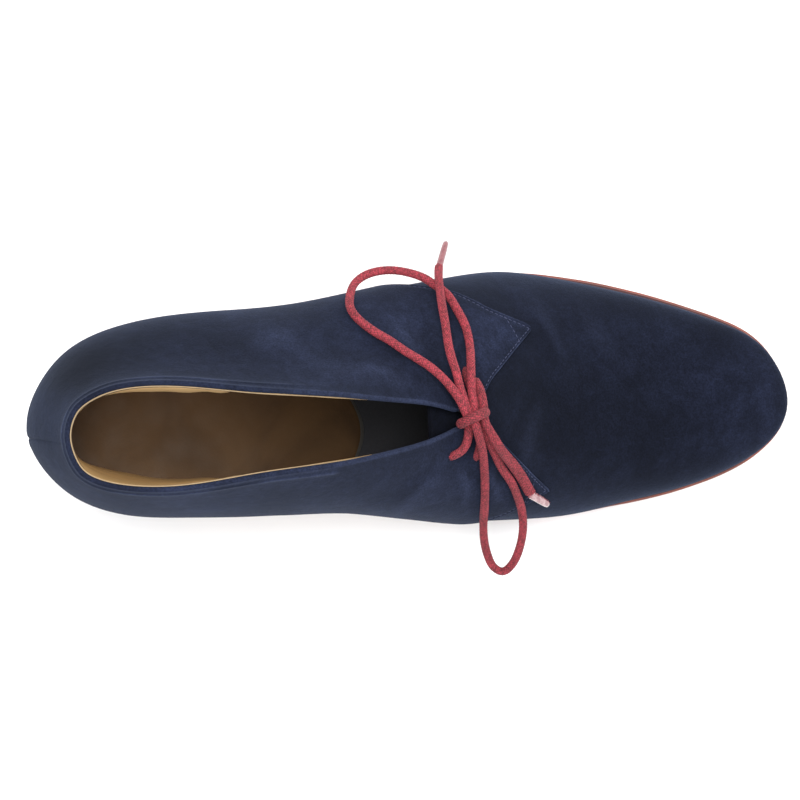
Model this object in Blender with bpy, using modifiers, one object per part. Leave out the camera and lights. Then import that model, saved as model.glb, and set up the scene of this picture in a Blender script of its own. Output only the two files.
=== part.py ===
"""Left heeled ankle boot: suede upper and quarters, leather sole, stacked heel, two pairs of lace holes.

The toe points along -Y, the outer side of the foot is +X and the boot stands on z = 0.
A place on the boot is given by how far it lies along the boot from the back of the heel, and
how far to the outer side of the centre line, in metres or as shares of the driving sizes.
"""

import math

import bmesh
import bpy
import numpy as np
from mathutils import Vector

# Driving sizes, in metres
LENGTH = 0.252          # back of the heel to the tip of the toe, outside the leather
BALL_WIDTH = 0.0838     # across the widest part of the forefoot
INSTEP = 0.0588         # crest of the instep above the foot bed, where the throat closes
HEEL_RISE = 0.0525      # how much higher the foot bed is at the heel than at the ball
SOLE_THICKNESS = 0.0045
LIFT_THICKNESS = 0.006
WALL = 0.0018           # upper leather with its lining
QUARTER_WALL = 0.0011   # suede of the quarters over it
QUARTER_GAP = 0.0006    # under the quarters, whose bends are tighter than a face
INSOLE_THICKNESS = 0.0022
SOCK_THICKNESS = 0.001
TONGUE_WALL = 0.0014
LACE_DIAMETER = 0.003
LACE_SPACING = 0.006    # between the corners of a lace's loops and ends
TIGHT_SPACING = 0.0021  # and where it bends tightly, at the bars and the knot
AGLET_DIAMETER = 0.0032
HOLE_DIAMETER = 0.0036
HOLE_SIDES = 14
CUTTER_DEPTH = 0.012
GAP = 0.0003            # between pieces that meet
MM = 0.001

CENTRE = 0.00585        # from the centre line to the middle of the boot's width
MIDDLE_ALONG = 0.12665  # from the back of the heel to the middle of the boot's length
RIB_SPACING = 0.0075    # between neighbouring ribs of a lofted wall
LOW_LEVELS = 3          # faces up the wall from the sole to its widest line
HIGH_LEVELS = 8         # faces up the wall from its widest line to the crest
WIDEST = 0.24           # level of the widest line, where 0 is the sole and 1 the crest
FOOT_FULLNESS = 0.45    # how roundly the wall leaves the sole line and comes upright
FOOT_RISE = 0.12        # how much of that bend lies in its first part
THROAT = 0.580          # where the collar's V closes, as a share of the length
SHARP_ANGLE = 40        # degrees, above which an edge is shaded sharp
MERGE = 1e-5            # corners nearer than this are one
HALVINGS = 40           # of an interval, when a place is searched for

# Foot bed: share of the length, share of the heel's rise
BED = np.array((
    (0.000, 1.000),
    (0.100, 0.945),
    (0.218, 0.852),
    (0.300, 0.742),
    (0.400, 0.533),
    (0.500, 0.290),
    (0.575, 0.118),
    (0.630, 0.030),
    (0.668, 0.000),
    (0.738, 0.000),
    (0.800, 0.024),
    (0.870, 0.068),
    (0.940, 0.128),
    (1.000, 0.190),
))

# Ribs of the upper from heel to toe.  Each runs from the sole out to the widest line, then in to the
# crest.
# along:  where the widest line is, share of the length
# outer, inner: reach of the widest line to either side, share of the ball's width
# tuck out, tuck in: how far the sole line lies inside the widest line, millimetres
# swell:  height of the widest line above the foot bed, millimetres
# crest:  where the rib ends, share of the length
# middle, half: middle and half width of the opening there, millimetres
# height: height of the crest or collar above the foot bed, share of the instep
# lean:   slope of the wall at its end, degrees, 0 where it crosses over the foot
# low, top: fullness of the curve at its start and its end
RIBS = np.array((
    # along  outer   inner  tuck  tuck  swell  crest  middle half height lean  low  top
    (0.0055, 0.036, -0.036,  4.0,  4.0, 20.0,  0.066, -1.9,  0.0, 1.267, 76, .40, .36),
    (0.0242, 0.198,  0.118,  4.0,  4.0, 20.0,  0.074, -2.4,  7.6, 1.265, 76, .40, .36),
    (0.0625, 0.320,  0.2315, 4.2,  4.2, 20.0,  0.090, -2.7, 11.8, 1.260, 77, .40, .36),
    (0.1210, 0.394,  0.302,  4.5,  4.8, 20.0,  0.127, -2.6, 15.2, 1.252, 78, .41, .37),
    (0.2000, 0.430,  0.326,  5.0,  6.0, 20.0,  0.200, -3.1, 16.1, 1.252, 77, .42, .38),
    (0.3000, 0.443,  0.340,  6.5,  9.0, 19.5,  0.300, -3.5, 13.1, 1.262, 72, .42, .38),
    (0.4000, 0.476,  0.344,  8.0, 11.5, 19.0,  0.400, -3.6, 10.6, 1.244, 60, .43, .40),
    (0.4700, 0.5155, 0.3735, 7.5, 10.5, 18.0,  0.470, -3.3,  8.0, 1.175, 46, .45, .43),
    (0.5500, 0.554,  0.414,  5.5,  7.0, 16.0,  0.550, -2.2,  3.1, 1.052, 20, .48, .46),
    (0.5800, 0.566,  0.424,  4.6,  5.5, 15.0,  0.580, -2.0,  0.0, 1.000,  6, .50, .48),
    (0.6200, 0.573,  0.427,  3.8,  4.2, 14.0,  0.620, -2.2,  0.0, 0.921,  0, .52, .50),
    (0.7000, 0.531,  0.421,  3.0,  3.0, 12.5,  0.700, -2.6,  0.0, 0.738,  0, .55, .54),
    (0.7800, 0.464,  0.379,  2.5,  2.5, 11.5,  0.774, -2.4,  0.0, 0.595,  0, .57, .57),
    (0.8600, 0.391,  0.3305, 2.4,  2.4, 10.5,  0.834, -1.8,  0.0, 0.480,  0, .60, .60),
    (0.9200, 0.311,  0.266,  2.3,  2.3,  9.8,  0.868, -1.3,  0.0, 0.415,  0, .62, .60),
    (0.9700, 0.209,  0.174,  2.3,  2.3,  9.2,  0.884, -1.0,  0.0, 0.385,  0, .62, .60),
    (1.0000, -0.004, 0.004,  2.3,  2.3,  9.0,  0.890, -0.9,  0.0, 0.372,  0, .62, .60),
))
ALONG, OUTER, INNER, TUCK_OUT, TUCK_IN, SWELL, CREST, MIDDLE, HALF, HEIGHT, LEAN, LOW, TOP = range(13)

# Quarters: share of the length, level of the seam below and of the free edge above
OUTER_FLAP = np.array((
    (0.350, 0.030, 1.000),
    (0.375, 0.050, 1.000),
    (0.405, 0.105, 1.000),
    (0.432, 0.175, 1.000),
    (0.459, 0.255, 1.000),
    (0.482, 0.330, 1.000),
    (0.510, 0.410, 1.000),
    (0.550, 0.505, 1.000),
    (0.567, 0.540, 0.975),
    (0.585, 0.570, 0.945),
    (0.607, 0.598, 0.855),
    (0.624, 0.622, 0.788),
    (0.645, 0.640, 0.718),
    (0.665, 0.655, 0.655),
))
INNER_FLAP = np.array((
    (0.400, 0.030, 1.000),
    (0.430, 0.050, 1.000),
    (0.460, 0.100, 1.000),
    (0.490, 0.155, 1.000),
    (0.520, 0.218, 1.000),
    (0.550, 0.285, 1.000),
    (0.569, 0.330, 0.985),
    (0.588, 0.375, 0.965),
    (0.605, 0.419, 0.900),
    (0.640, 0.520, 0.757),
    (0.672, 0.613, 0.613),
))
FLAP_RIBS = 22          # ribs of a quarter ahead of the waist

# Tongue: distance along the boot and half width, millimetres
TONGUE = np.array((
    (133.0, 14.0),
    (138.0, 16.0),
    (144.0, 17.0),
    (151.0, 17.0),
    (158.0, 16.0),
    (164.0, 14.0),
))
TONGUE_STEPS = 8        # faces across the tongue

# Outsole: share of the length, reach beyond the sole line on the outer and the inner side, millimetres
SOLE_EDGE = np.array((
    (0.000, 1.5, 1.5),
    (0.200, 1.5, 1.4),
    (0.400, 1.2, 1.0),
    (0.500, 1.6, 1.4),
    (0.560, 2.8, 2.4),
    (0.630, 3.9, 3.0),
    (0.700, 4.2, 3.0),
    (0.780, 3.9, 3.0),
    (0.860, 3.8, 3.2),
    (0.930, 3.7, 3.4),
    (1.000, 3.8, 3.8),
))
INSOLE_INSET = 0.0019   # insole edge inside the sole line
SOCK_INSET = 0.0008     # sock edge inside the insole's
SOCK_LENGTH = 0.110
SOCK_ROUND = 0.012      # depth of the sock's round front
SOCK_STEPS = 6          # faces round it

HEEL_EDGE = 0.0008      # top of the heel beyond the sole line
HEEL_BREAST = 0.058     # front of the heel's top, along the boot
HEEL_MIDDLE = (0.031, 0.003)   # along the boot and to the outer side, of what the taper keeps still
HEEL_TAPER = 0.84       # size of the heel at the floor, against its top
HEEL_SET = 0.0015       # how far its foot is set forward
HEEL_LEVELS = 5
HEEL_CURVE = 1.3        # more than 1 draws the heel in nearer its top

# Lace holes: along and to the outer side, millimetres, top pair first
LACE_HOLES = np.array((
    (136.3, 11.3),
    (136.5, -13.7),
    (144.0, 14.1),
    (144.5, -15.7),
))

# Lace: routes through (along, to the outer side, height), millimetres
FRONT_BAR = (
    (143.1, 14.1, 71.2), (143.4, 12.8, 72.8), (143.7, 10.0, 73.5), (144.0, 5.0, 74.6),
    (144.2, -2.0, 74.9), (144.3, -8.0, 74.9), (144.4, -12.0, 73.7), (144.5, -14.6, 71.8),
    (144.5, -15.7, 70.2),
)
BACK_BAR = (
    (136.3, 11.3, 77.4), (137.1, 10.3, 79.0), (139.0, 8.0, 78.6), (141.0, 5.0, 78.0),
    (142.6, 1.6, 77.5), (143.2, -2.2, 77.3), (142.2, -5.6, 77.8), (140.6, -8.4, 78.7),
    (138.6, -10.6, 79.3), (136.9, -12.7, 79.9), (136.5, -13.7, 78.1),
)
KNOT = (
    (139.4, -3.5, 77.8), (139.9, -3.3, 80.2), (141.2, -2.9, 82.3), (143.2, -2.2, 83.0),
    (145.4, -1.5, 81.6), (147.2, -0.9, 79.2), (148.8, -0.4, 76.0), (149.9, 0.0, 72.6),
)
OUTER_LOOP = (
    (140.9, -0.9, 82.6), (139.6, 5.0, 82.8), (137.4, 10.0, 82.7), (133.6, 14.3, 81.1),
    (128.6, 18.2, 79.5), (123.9, 21.5, 79.3), (119.5, 24.9, 79.0), (115.4, 27.6, 78.6),
    (111.7, 30.6, 77.4), (109.1, 33.3, 75.4), (107.4, 36.4, 72.4), (107.2, 39.4, 68.0),
    (107.9, 42.6, 63.2), (109.5, 45.4, 59.0), (113.0, 47.8, 55.4), (120.9, 49.1, 51.8),
    (127.4, 47.9, 50.6), (132.3, 45.8, 51.0), (135.6, 43.3, 52.8), (139.5, 40.1, 55.4),
    (143.1, 34.8, 59.2), (145.7, 28.9, 62.6), (146.3, 21.5, 66.8), (146.4, 16.5, 72.7),
    (146.3, 11.5, 75.7), (146.6, 7.5, 76.6), (147.3, 3.9, 78.0), (147.5, 1.5, 78.5),
)
INNER_LOOP = (
    (142.9, -4.2, 81.9), (145.2, -6.8, 79.5), (147.0, -10.2, 76.4), (147.9, -13.2, 72.6),
    (148.0, -16.0, 69.4), (148.2, -22.2, 63.0), (147.9, -28.9, 55.6), (147.6, -32.3, 50.7),
    (147.2, -36.2, 44.8), (147.2, -42.3, 38.2), (148.5, -48.4, 32.7), (150.4, -51.7, 30.6),
    (152.9, -52.9, 30.0), (155.4, -51.5, 31.2), (158.0, -47.6, 33.8), (159.6, -43.0, 36.8),
    (160.4, -38.1, 39.8), (160.2, -33.1, 43.0), (158.8, -27.9, 50.2), (156.6, -22.7, 56.9),
    (154.1, -18.8, 61.4), (151.4, -12.8, 68.4), (149.6, -8.7, 72.2), (148.5, -5.2, 74.9),
    (148.3, -2.9, 76.2),
)
OUTER_END = (
    (144.3, 0.1, 81.6), (143.6, 4.0, 81.4), (142.3, 8.4, 80.4), (141.0, 12.7, 78.8),
    (139.6, 17.5, 76.8), (138.6, 23.5, 73.4), (138.1, 30.0, 69.4), (137.4, 36.5, 64.6),
    (137.2, 40.1, 60.8), (137.0, 43.6, 57.4), (137.0, 46.6, 52.8), (137.3, 49.4, 47.4),
)
INNER_END = (
    (147.2, -3.7, 80.6), (148.8, -6.6, 79.0), (150.4, -8.7, 76.4), (152.6, -10.9, 73.2),
    (155.3, -14.5, 68.4), (157.8, -17.9, 62.4), (160.0, -21.2, 57.2), (161.6, -24.2, 52.8),
    (162.9, -27.2, 49.2),
)
OUTER_AGLET = ((137.4, 49.7, 46.9), (140.4, 57.4, 36.0))
INNER_AGLET = ((163.2, -27.8, 48.7), (169.8, -32.2, 38.5))


def smooth(table, at):
    """Value of a two-column table at a place, on a smooth curve through its rows."""
    places, values = table[:, 0], table[:, 1]
    spans = np.diff(places)
    rates = np.diff(values) / spans
    slopes = np.empty_like(values)
    slopes[1:-1] = (rates[:-1] * spans[1:] + rates[1:] * spans[:-1]) / (spans[:-1] + spans[1:])
    slopes[0], slopes[-1] = rates[0], rates[-1]
    at = np.clip(at, places[0], places[-1])
    row = min(int(np.searchsorted(places, at, side="right")) - 1, len(spans) - 1)
    t = (at - places[row]) / spans[row]
    rise = values[row + 1] - values[row]
    start, end = slopes[row] * spans[row], slopes[row + 1] * spans[row]
    square, cube = 3 * rise - 2 * start - end, start + end - 2 * rise
    return values[row] + t * start + t * t * square + t ** 3 * cube


def bed_height(along):
    """Height of the sole line above the floor, along the boot in metres."""
    rise = max(0.0, smooth(BED, along / LENGTH))
    return SOLE_THICKNESS + GAP + rise * HEEL_RISE


def place(along, side, height):
    """Point in the boot's own frame from a place along and across it."""
    return (side - CENTRE, MIDDLE_ALONG - along, height)


def closed_spline(knots, values, period):
    """Bends at the knots of a smooth closed curve through the values, as a function of the knot."""
    count = len(knots)
    spans = np.diff(np.append(knots, knots[0] + period))
    matrix = np.zeros((count, count))
    target = np.zeros_like(values)
    for row in range(count):
        following = (row + 1) % count
        before, after = spans[row - 1], spans[row]
        matrix[row, row - 1] += before
        matrix[row, row] += 2 * (before + after)
        matrix[row, following] += after
        rise, climb = values[following] - values[row], values[row] - values[row - 1]
        target[row] = 6 * (rise / after - climb / before)
    bends = np.linalg.solve(matrix, target)

    def at(knot):
        knot = knot % period
        row = int(np.searchsorted(knots, knot, side="right")) - 1
        following = (row + 1) % count
        span = spans[row]
        right = (knot - knots[row]) / span
        left = 1 - right
        curve = left * values[row] + right * values[following]
        bend = (left ** 3 - left) * bends[row] + (right ** 3 - right) * bends[following]
        return curve + bend * span ** 2 / 6

    return at


def loop_of_ribs():
    """Knots and values of the ribs round the boot: to the toe on the outer side, back on the inner."""
    outer = np.column_stack((RIBS, RIBS[:, OUTER]))
    inner = np.column_stack((RIBS, -RIBS[:, INNER]))
    inner[:, HALF] *= -1
    inner[:, TUCK_OUT] = RIBS[:, TUCK_IN]
    places = RIBS[:, ALONG] * LENGTH
    steps = (np.hypot(np.diff(places), np.diff(RIBS[:, OUTER]) * BALL_WIDTH)
             + np.hypot(np.diff(places), np.diff(RIBS[:, INNER]) * BALL_WIDTH)) / 2
    ahead = np.concatenate(((0.0,), np.cumsum(steps)))
    period = 2 * ahead[-1]
    knots = np.concatenate((ahead, (period - ahead[1:-1])[::-1]))
    values = np.vstack((outer, inner[1:-1][::-1]))
    return knots, values, period


KNOTS, LOOP, PERIOD = loop_of_ribs()
RIB_AT = closed_spline(KNOTS, LOOP, PERIOD)
REACH = LOOP.shape[1] - 1


def rib_frame(knot):
    """Widest point of a rib, its outward direction in plan, and the rib's values."""
    values = RIB_AT(knot)
    step = PERIOD * 1e-4
    after, before = RIB_AT(knot + step), RIB_AT(knot - step)
    change = after - before
    tangent = np.array((change[ALONG] * LENGTH, change[REACH] * BALL_WIDTH))
    tangent /= np.linalg.norm(tangent)
    outward = np.array((-tangent[1], tangent[0]))
    widest = np.array((values[ALONG] * LENGTH, values[REACH] * BALL_WIDTH))
    return widest, outward, values


def crest_height(along):
    """Height of the crest or collar above the floor."""
    return bed_height(along) + smooth(RIBS[:, (CREST, HEIGHT)], along / LENGTH) * INSTEP


def bezier(points, t):
    """Point on a cubic curve."""
    start, first, second, end = points
    left = 1 - t
    return left ** 3 * start + 3 * left * left * t * first + 3 * left * t * t * second + t ** 3 * end


def rib_curves(knot):
    """The two curves of a rib, as (along, side, height), which meet at its widest line."""
    plan, outward, values = rib_frame(knot)
    swell = values[SWELL] * MM
    foot_plan = plan - outward * values[TUCK_OUT] * MM
    foot = np.append(foot_plan, bed_height(foot_plan[0]))
    widest = np.append(plan, bed_height(plan[0]) + swell)
    crest_along = values[CREST] * LENGTH
    half = values[HALF] if values[CREST] < THROAT else 0.0
    crest = np.array((crest_along, (values[MIDDLE] + half) * MM, crest_height(crest_along)))

    up = np.array((0.0, 0.0, 1.0))
    spread = np.append(outward * values[TUCK_OUT] * MM, 0.0)
    low_curve = (foot, foot + spread * FOOT_FULLNESS + up * swell * FOOT_RISE,
                 widest - up * swell * FOOT_FULLNESS, widest)

    away = plan - crest[:2]
    reach = np.linalg.norm(away)
    away /= reach
    lean = math.radians(values[LEAN])
    fall = (crest_height(crest_along + MM) - crest_height(crest_along - MM)) / (2 * MM)
    ending = np.array((away[0] * math.cos(lean), away[1] * math.cos(lean),
                       math.cos(lean) * fall * away[0] - math.sin(lean)))
    climb = crest[2] - widest[2]
    handle = values[TOP] * (math.cos(lean) * reach + math.sin(lean) * climb)
    high_curve = (widest, widest + up * values[LOW] * climb, crest + ending * handle, crest)
    return low_curve, high_curve


def rib_point(curves, level):
    """Point of a rib at a level from 0, the sole line, to 1, the crest."""
    low_curve, high_curve = curves
    if level < WIDEST:
        return bezier(low_curve, level / WIDEST)
    return bezier(high_curve, (level - WIDEST) / (1 - WIDEST))


def rib_points(curves, start=0.0, end=1.0):
    """Points up a rib between two levels, close together round its widest line."""
    low = [WIDEST * step / LOW_LEVELS for step in range(LOW_LEVELS)]
    high = [WIDEST + (1 - WIDEST) * step / HIGH_LEVELS for step in range(HIGH_LEVELS + 1)]
    return [rib_point(curves, start + (end - start) * level) for level in low + high]


def rib_knots(first, last):
    """Knots from one rib of the loop to another, through every rib between, at an even spacing."""
    stops = np.append(KNOTS, PERIOD)
    knots = []
    for start, end in zip(stops[first:last], stops[first + 1:last + 1]):
        count = max(1, round((end - start) / RIB_SPACING))
        knots.extend(start + (end - start) * step / count for step in range(count))
    return knots


def knot_at(along, side):
    """Knot of the rib whose crest lies at a place along the boot, on the outer side or the inner."""
    near, far = (0.0, PERIOD / 2) if side > 0 else (PERIOD, PERIOD / 2)
    for _ in range(HALVINGS):
        middle = (near + far) / 2
        if RIB_AT(middle)[CREST] * LENGTH < along:
            near = middle
        else:
            far = middle
    return near


def wall_point(along, side):
    """Point of the upper's outer face above a place in plan, bridging the collar's opening."""
    middle = smooth(RIBS[:, (CREST, MIDDLE)], along / LENGTH) * MM
    curves = rib_curves(knot_at(along, side - middle))
    crest_side = curves[1][3][1]
    if abs(side - middle) <= abs(crest_side - middle):
        return np.array((along, side, crest_height(along)))
    low, high = WIDEST, 1.0
    for _ in range(HALVINGS):
        level = (low + high) / 2
        if abs(rib_point(curves, level)[1] - middle) > abs(side - middle):
            low = level
        else:
            high = level
    return rib_point(curves, low)


def new_collection(name):
    collection = bpy.data.collections.new(name)
    bpy.context.scene.collection.children.link(collection)
    return collection


def new_material(name, colour, roughness):
    material = bpy.data.materials.new(name)
    material.use_nodes = True
    shader = material.node_tree.nodes["Principled BSDF"]
    shader.inputs["Base Color"].default_value = (*colour, 1.0)
    shader.inputs["Roughness"].default_value = roughness
    shader.inputs["Metallic"].default_value = 0.0
    return material


def new_object(name, mesh, collection, material):
    thing = bpy.data.objects.new(name, mesh)
    collection.objects.link(thing)
    mesh.materials.append(material)
    mesh.shade_smooth()
    mesh.set_sharp_from_angle(angle=math.radians(SHARP_ANGLE))
    return thing


def mesh_from(name, points, faces):
    """Mesh from places in the boot's own frame; corners that coincide are merged."""
    mesh = bpy.data.meshes.new(name)
    mesh.from_pydata([place(*point) for point in points], [], faces)
    shape = bmesh.new()
    shape.from_mesh(mesh)
    bmesh.ops.remove_doubles(shape, verts=shape.verts, dist=MERGE)
    shape.to_mesh(mesh)
    shape.free()
    return mesh


def lofted(rows, closed):
    """Points and faces of a sheet through rows of points; each four-sided cell is split the short way."""
    count = len(rows[0])
    points = [point for row in rows for point in row]
    faces = []
    for row in range(len(rows) if closed else len(rows) - 1):
        following = (row + 1) % len(rows)
        for step in range(count - 1):
            here, there = row * count + step, following * count + step
            forward = math.dist(points[here], points[there + 1])
            backward = math.dist(points[here + 1], points[there])
            if forward < backward:
                faces.append((here, here + 1, there + 1))
                faces.append((here, there + 1, there))
            else:
                faces.append((here, here + 1, there))
                faces.append((here + 1, there + 1, there))
    return points, faces


def slab(pairs, top, bottom):
    """Points and faces of a plate between pairs of edge points, whose top and bottom follow the bed."""
    points, faces = [], []
    for outer, inner in pairs:
        for edge in (outer, inner):
            points.append((edge[0], edge[1], top(edge[0])))
            points.append((edge[0], edge[1], bottom(edge[0])))
    last = len(pairs) - 1
    for row in range(last):
        here, there = 4 * row, 4 * row + 4
        faces.append((here, here + 2, there + 2, there))
        faces.append((here + 1, there + 1, there + 3, here + 3))
        faces.append((here, there, there + 1, here + 1))
        faces.append((here + 2, here + 3, there + 3, there + 2))
    faces.append((0, 1, 3, 2))
    faces.append((4 * last, 4 * last + 2, 4 * last + 3, 4 * last + 1))
    return points, faces


def thicken(thing, thickness, offset):
    solidify = thing.modifiers.new("wall", "SOLIDIFY")
    solidify.thickness = thickness
    solidify.offset = offset
    solidify.use_even_offset = True


def shift(thing, distance):
    displace = thing.modifiers.new("clearance", "DISPLACE")
    displace.strength = distance
    displace.mid_level = 0.0


def punch(thing, cutters):
    boolean = thing.modifiers.new("lace holes", "BOOLEAN")
    boolean.operand_type = "COLLECTION"
    boolean.collection = cutters
    boolean.operation = "DIFFERENCE"
    boolean.solver = "EXACT"


def sole_line(knot, beyond):
    """Place in plan that lies beyond the sole line, outwards, on a rib."""
    plan, outward, values = rib_frame(knot)
    return plan - outward * (values[TUCK_OUT] * MM - beyond)


def edge_pairs(beyond_outer, beyond_inner, last=len(RIBS) - 1):
    """Pairs of plan points round a plate, heel to toe, each a distance beyond the sole line."""
    pairs = []
    for knot in rib_knots(0, last) + [KNOTS[last]]:
        along = RIB_AT(knot)[ALONG]
        outer = sole_line(knot, beyond_outer(along))
        inner = sole_line(PERIOD - knot, beyond_inner(along))
        pairs.append((outer, inner))
    return pairs


def make_upper(collection, material, cutters):
    rows = [rib_points(rib_curves(knot)) for knot in rib_knots(0, len(KNOTS))]
    upper = new_object("upper", mesh_from("upper", *lofted(rows, closed=True)), collection, material)
    thicken(upper, WALL, -1)
    punch(upper, cutters)
    return upper


def make_quarters(collection, material, cutters):
    """One sheet round the heel, from the front corner on the inner side to the one on the outer."""
    halves = []
    for side, flap in ((-1, INNER_FLAP), (1, OUTER_FLAP)):
        half = []
        for station in np.linspace(flap[-1, 0], flap[0, 0], FLAP_RIBS):
            curves = rib_curves(knot_at(station * LENGTH, side))
            seam = smooth(flap[:, (0, 1)], station)
            edge = min(1.0, smooth(flap[:, (0, 2)], station))
            half.append(rib_points(curves, seam, edge))
        halves.append(half)
    inner, outer = halves
    first = knot_at(INNER_FLAP[0, 0] * LENGTH, -1)
    last = knot_at(OUTER_FLAP[0, 0] * LENGTH, 1)
    around = rib_knots(0, len(KNOTS))
    behind = [knot for knot in around if knot > first] + [knot for knot in around if knot < last]
    heel = [rib_points(rib_curves(knot), start=INNER_FLAP[0, 1]) for knot in behind]
    sheet = lofted(inner + heel + outer[::-1], closed=False)
    quarters = new_object("quarters", mesh_from("quarters", *sheet), collection, material)
    shift(quarters, QUARTER_GAP)
    thicken(quarters, QUARTER_WALL, 1)
    punch(quarters, cutters)
    return quarters


def make_tongue(collection, material):
    """Strip under the throat, from under the forefoot to above the top pair of holes."""
    rows = []
    for along, half in TONGUE * MM:
        middle = smooth(RIBS[:, (CREST, MIDDLE)], along / LENGTH) * MM
        rows.append([wall_point(along, middle + half * (1 - 2 * step / TONGUE_STEPS))
                     for step in range(TONGUE_STEPS + 1)])
    tongue = new_object("tongue", mesh_from("tongue", *lofted(rows, closed=False)), collection, material)
    shift(tongue, -(WALL + 2 * GAP))
    thicken(tongue, TONGUE_WALL, -1)
    return tongue


def make_insole(collection, material):
    def edge(along):
        return -INSOLE_INSET

    pairs = edge_pairs(edge, edge)
    sheet = slab(pairs, lambda along: bed_height(along) + INSOLE_THICKNESS, bed_height)
    return new_object("insole", mesh_from("insole", *sheet), collection, material)


def make_sock(collection, material):
    """Heel sock on the insole, with a round front end."""
    def edge(along):
        return -INSOLE_INSET - SOCK_INSET

    def bottom(along):
        return bed_height(along) + INSOLE_THICKNESS + GAP

    straight = SOCK_LENGTH - SOCK_ROUND
    pairs = [pair for pair in edge_pairs(edge, edge) if max(pair[0][0], pair[1][0]) < straight]
    outer, inner = pairs[-1]
    for step in range(1, SOCK_STEPS):
        turn = math.radians(90) * step / SOCK_STEPS
        ahead = (SOCK_LENGTH - outer[0]) * math.sin(turn)
        centre = (outer[1] + inner[1]) / 2
        half = (outer[1] - inner[1]) / 2 * math.cos(turn)
        pairs.append(((outer[0] + ahead, centre + half), (inner[0] + ahead, centre - half)))
    sheet = slab(pairs, lambda along: bottom(along) + SOCK_THICKNESS, bottom)
    return new_object("heel_sock", mesh_from("heel_sock", *sheet), collection, material)


def sole_underside(along):
    return max(0.0, bed_height(along) - GAP - SOLE_THICKNESS)


def make_outsole(collection, material):
    pairs = edge_pairs(lambda along: smooth(SOLE_EDGE[:, (0, 1)], along) * MM,
                       lambda along: smooth(SOLE_EDGE[:, (0, 2)], along) * MM)
    sheet = slab(pairs, lambda along: bed_height(along) - GAP, sole_underside)
    return new_object("outsole", mesh_from("outsole", *sheet), collection, material)


def heel_outline():
    """Plan of the heel's top, from its breast on the outer side round the back to the inner side."""
    pairs = edge_pairs(lambda along: HEEL_EDGE, lambda along: HEEL_EDGE)
    outer = [pair[0] for pair in pairs if pair[0][0] < HEEL_BREAST]
    inner = [pair[1] for pair in pairs if pair[1][0] < HEEL_BREAST]
    first = np.array((HEEL_BREAST, outer[-1][1]))
    last = np.array((HEEL_BREAST, inner[-1][1]))
    return [first] + outer[::-1] + inner[1:] + [last]


def heel_ring(share, height):
    """Ring of the heel at a share of its height, drawn in towards the floor."""
    middle = np.array(HEEL_MIDDLE)
    narrowing = HEEL_TAPER + (1 - HEEL_TAPER) * share ** HEEL_CURVE
    ring = []
    for point in heel_outline():
        plan = middle + (point - middle) * narrowing
        plan[0] += HEEL_SET * (1 - share)
        ring.append((plan[0], plan[1], height(point[0])))
    return ring


def ring_solid(rings):
    """Points and faces of a solid through closed rings, from the lowest to the highest."""
    count = len(rings[0])
    points = [point for ring in rings for point in ring]
    faces = []
    for row in range(len(rings) - 1):
        for step in range(count):
            following = (step + 1) % count
            here, above = row * count, (row + 1) * count
            faces.append((here + step, here + following, above + following, above + step))
    top = (len(rings) - 1) * count
    for low in range((count - 1) // 2):
        high = count - 1 - low
        corners = tuple(dict.fromkeys((low, high, high - 1, low + 1)))
        faces.append(corners)
        faces.append(tuple(top + corner for corner in corners[::-1]))
    return points, faces


def make_heel(collection, stack_material, lift_material):
    rings = []
    for step in range(HEEL_LEVELS + 1):
        share = step / HEEL_LEVELS

        def height(along, share=share):
            low = LIFT_THICKNESS + GAP
            return low + (sole_underside(along) - GAP - low) * share

        rings.append(heel_ring(share, height))
    new_object("heel_stack", mesh_from("heel_stack", *ring_solid(rings)), collection, stack_material)
    lift = [heel_ring(0.0, lambda along: 0.0), heel_ring(0.0, lambda along: LIFT_THICKNESS)]
    new_object("heel_top_lift", mesh_from("heel_top_lift", *ring_solid(lift)), collection, lift_material)


def make_hole_cutters(cutters):
    for along, side in LACE_HOLES * MM:
        centre = wall_point(along, side)
        ahead = wall_point(along + MM, side)
        across = wall_point(along, side + MM)
        start = np.array(place(*centre))
        normal = np.cross(np.array(place(*across)) - start, np.array(place(*ahead)) - start)
        normal /= np.linalg.norm(normal)
        bpy.ops.mesh.primitive_cylinder_add(vertices=HOLE_SIDES, radius=HOLE_DIAMETER / 2,
                                            depth=CUTTER_DEPTH, location=start)
        cutter = bpy.context.object
        cutter.name = "lace_hole_cutter"
        cutter.rotation_mode = "QUATERNION"
        cutter.rotation_quaternion = Vector(normal).to_track_quat("Z", "Y")
        for owner in list(cutter.users_collection):
            owner.objects.unlink(cutter)
        cutters.objects.link(cutter)
        cutter.hide_render = True
        cutter.display_type = "WIRE"


def route(points, spacing):
    """Places at an even spacing on a smooth curve through the points of a lace's route, in metres."""
    points = np.array(points) * MM
    steps = np.linalg.norm(np.diff(points, axis=0), axis=1)
    run = np.concatenate(((0.0,), np.cumsum(steps)))
    count = max(2, round(run[-1] / spacing))
    return [[smooth(np.column_stack((run, points[:, axis])), run[-1] * step / count) for axis in range(3)]
            for step in range(count + 1)]


def make_cord(name, points, diameter, spacing, collection, material):
    """Round cord along a route, as a curve with a round section and closed ends."""
    curve = bpy.data.curves.new(name, "CURVE")
    curve.dimensions = "3D"
    curve.bevel_depth = diameter / 2
    curve.bevel_resolution = 2
    curve.use_fill_caps = True
    spline = curve.splines.new("POLY")
    places = route(points, spacing)
    spline.points.add(len(places) - 1)
    for point, spot in zip(spline.points, places):
        point.co = (*place(*spot), 1.0)
    curve.materials.append(material)
    cord = bpy.data.objects.new(name, curve)
    collection.objects.link(cord)
    return cord


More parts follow.
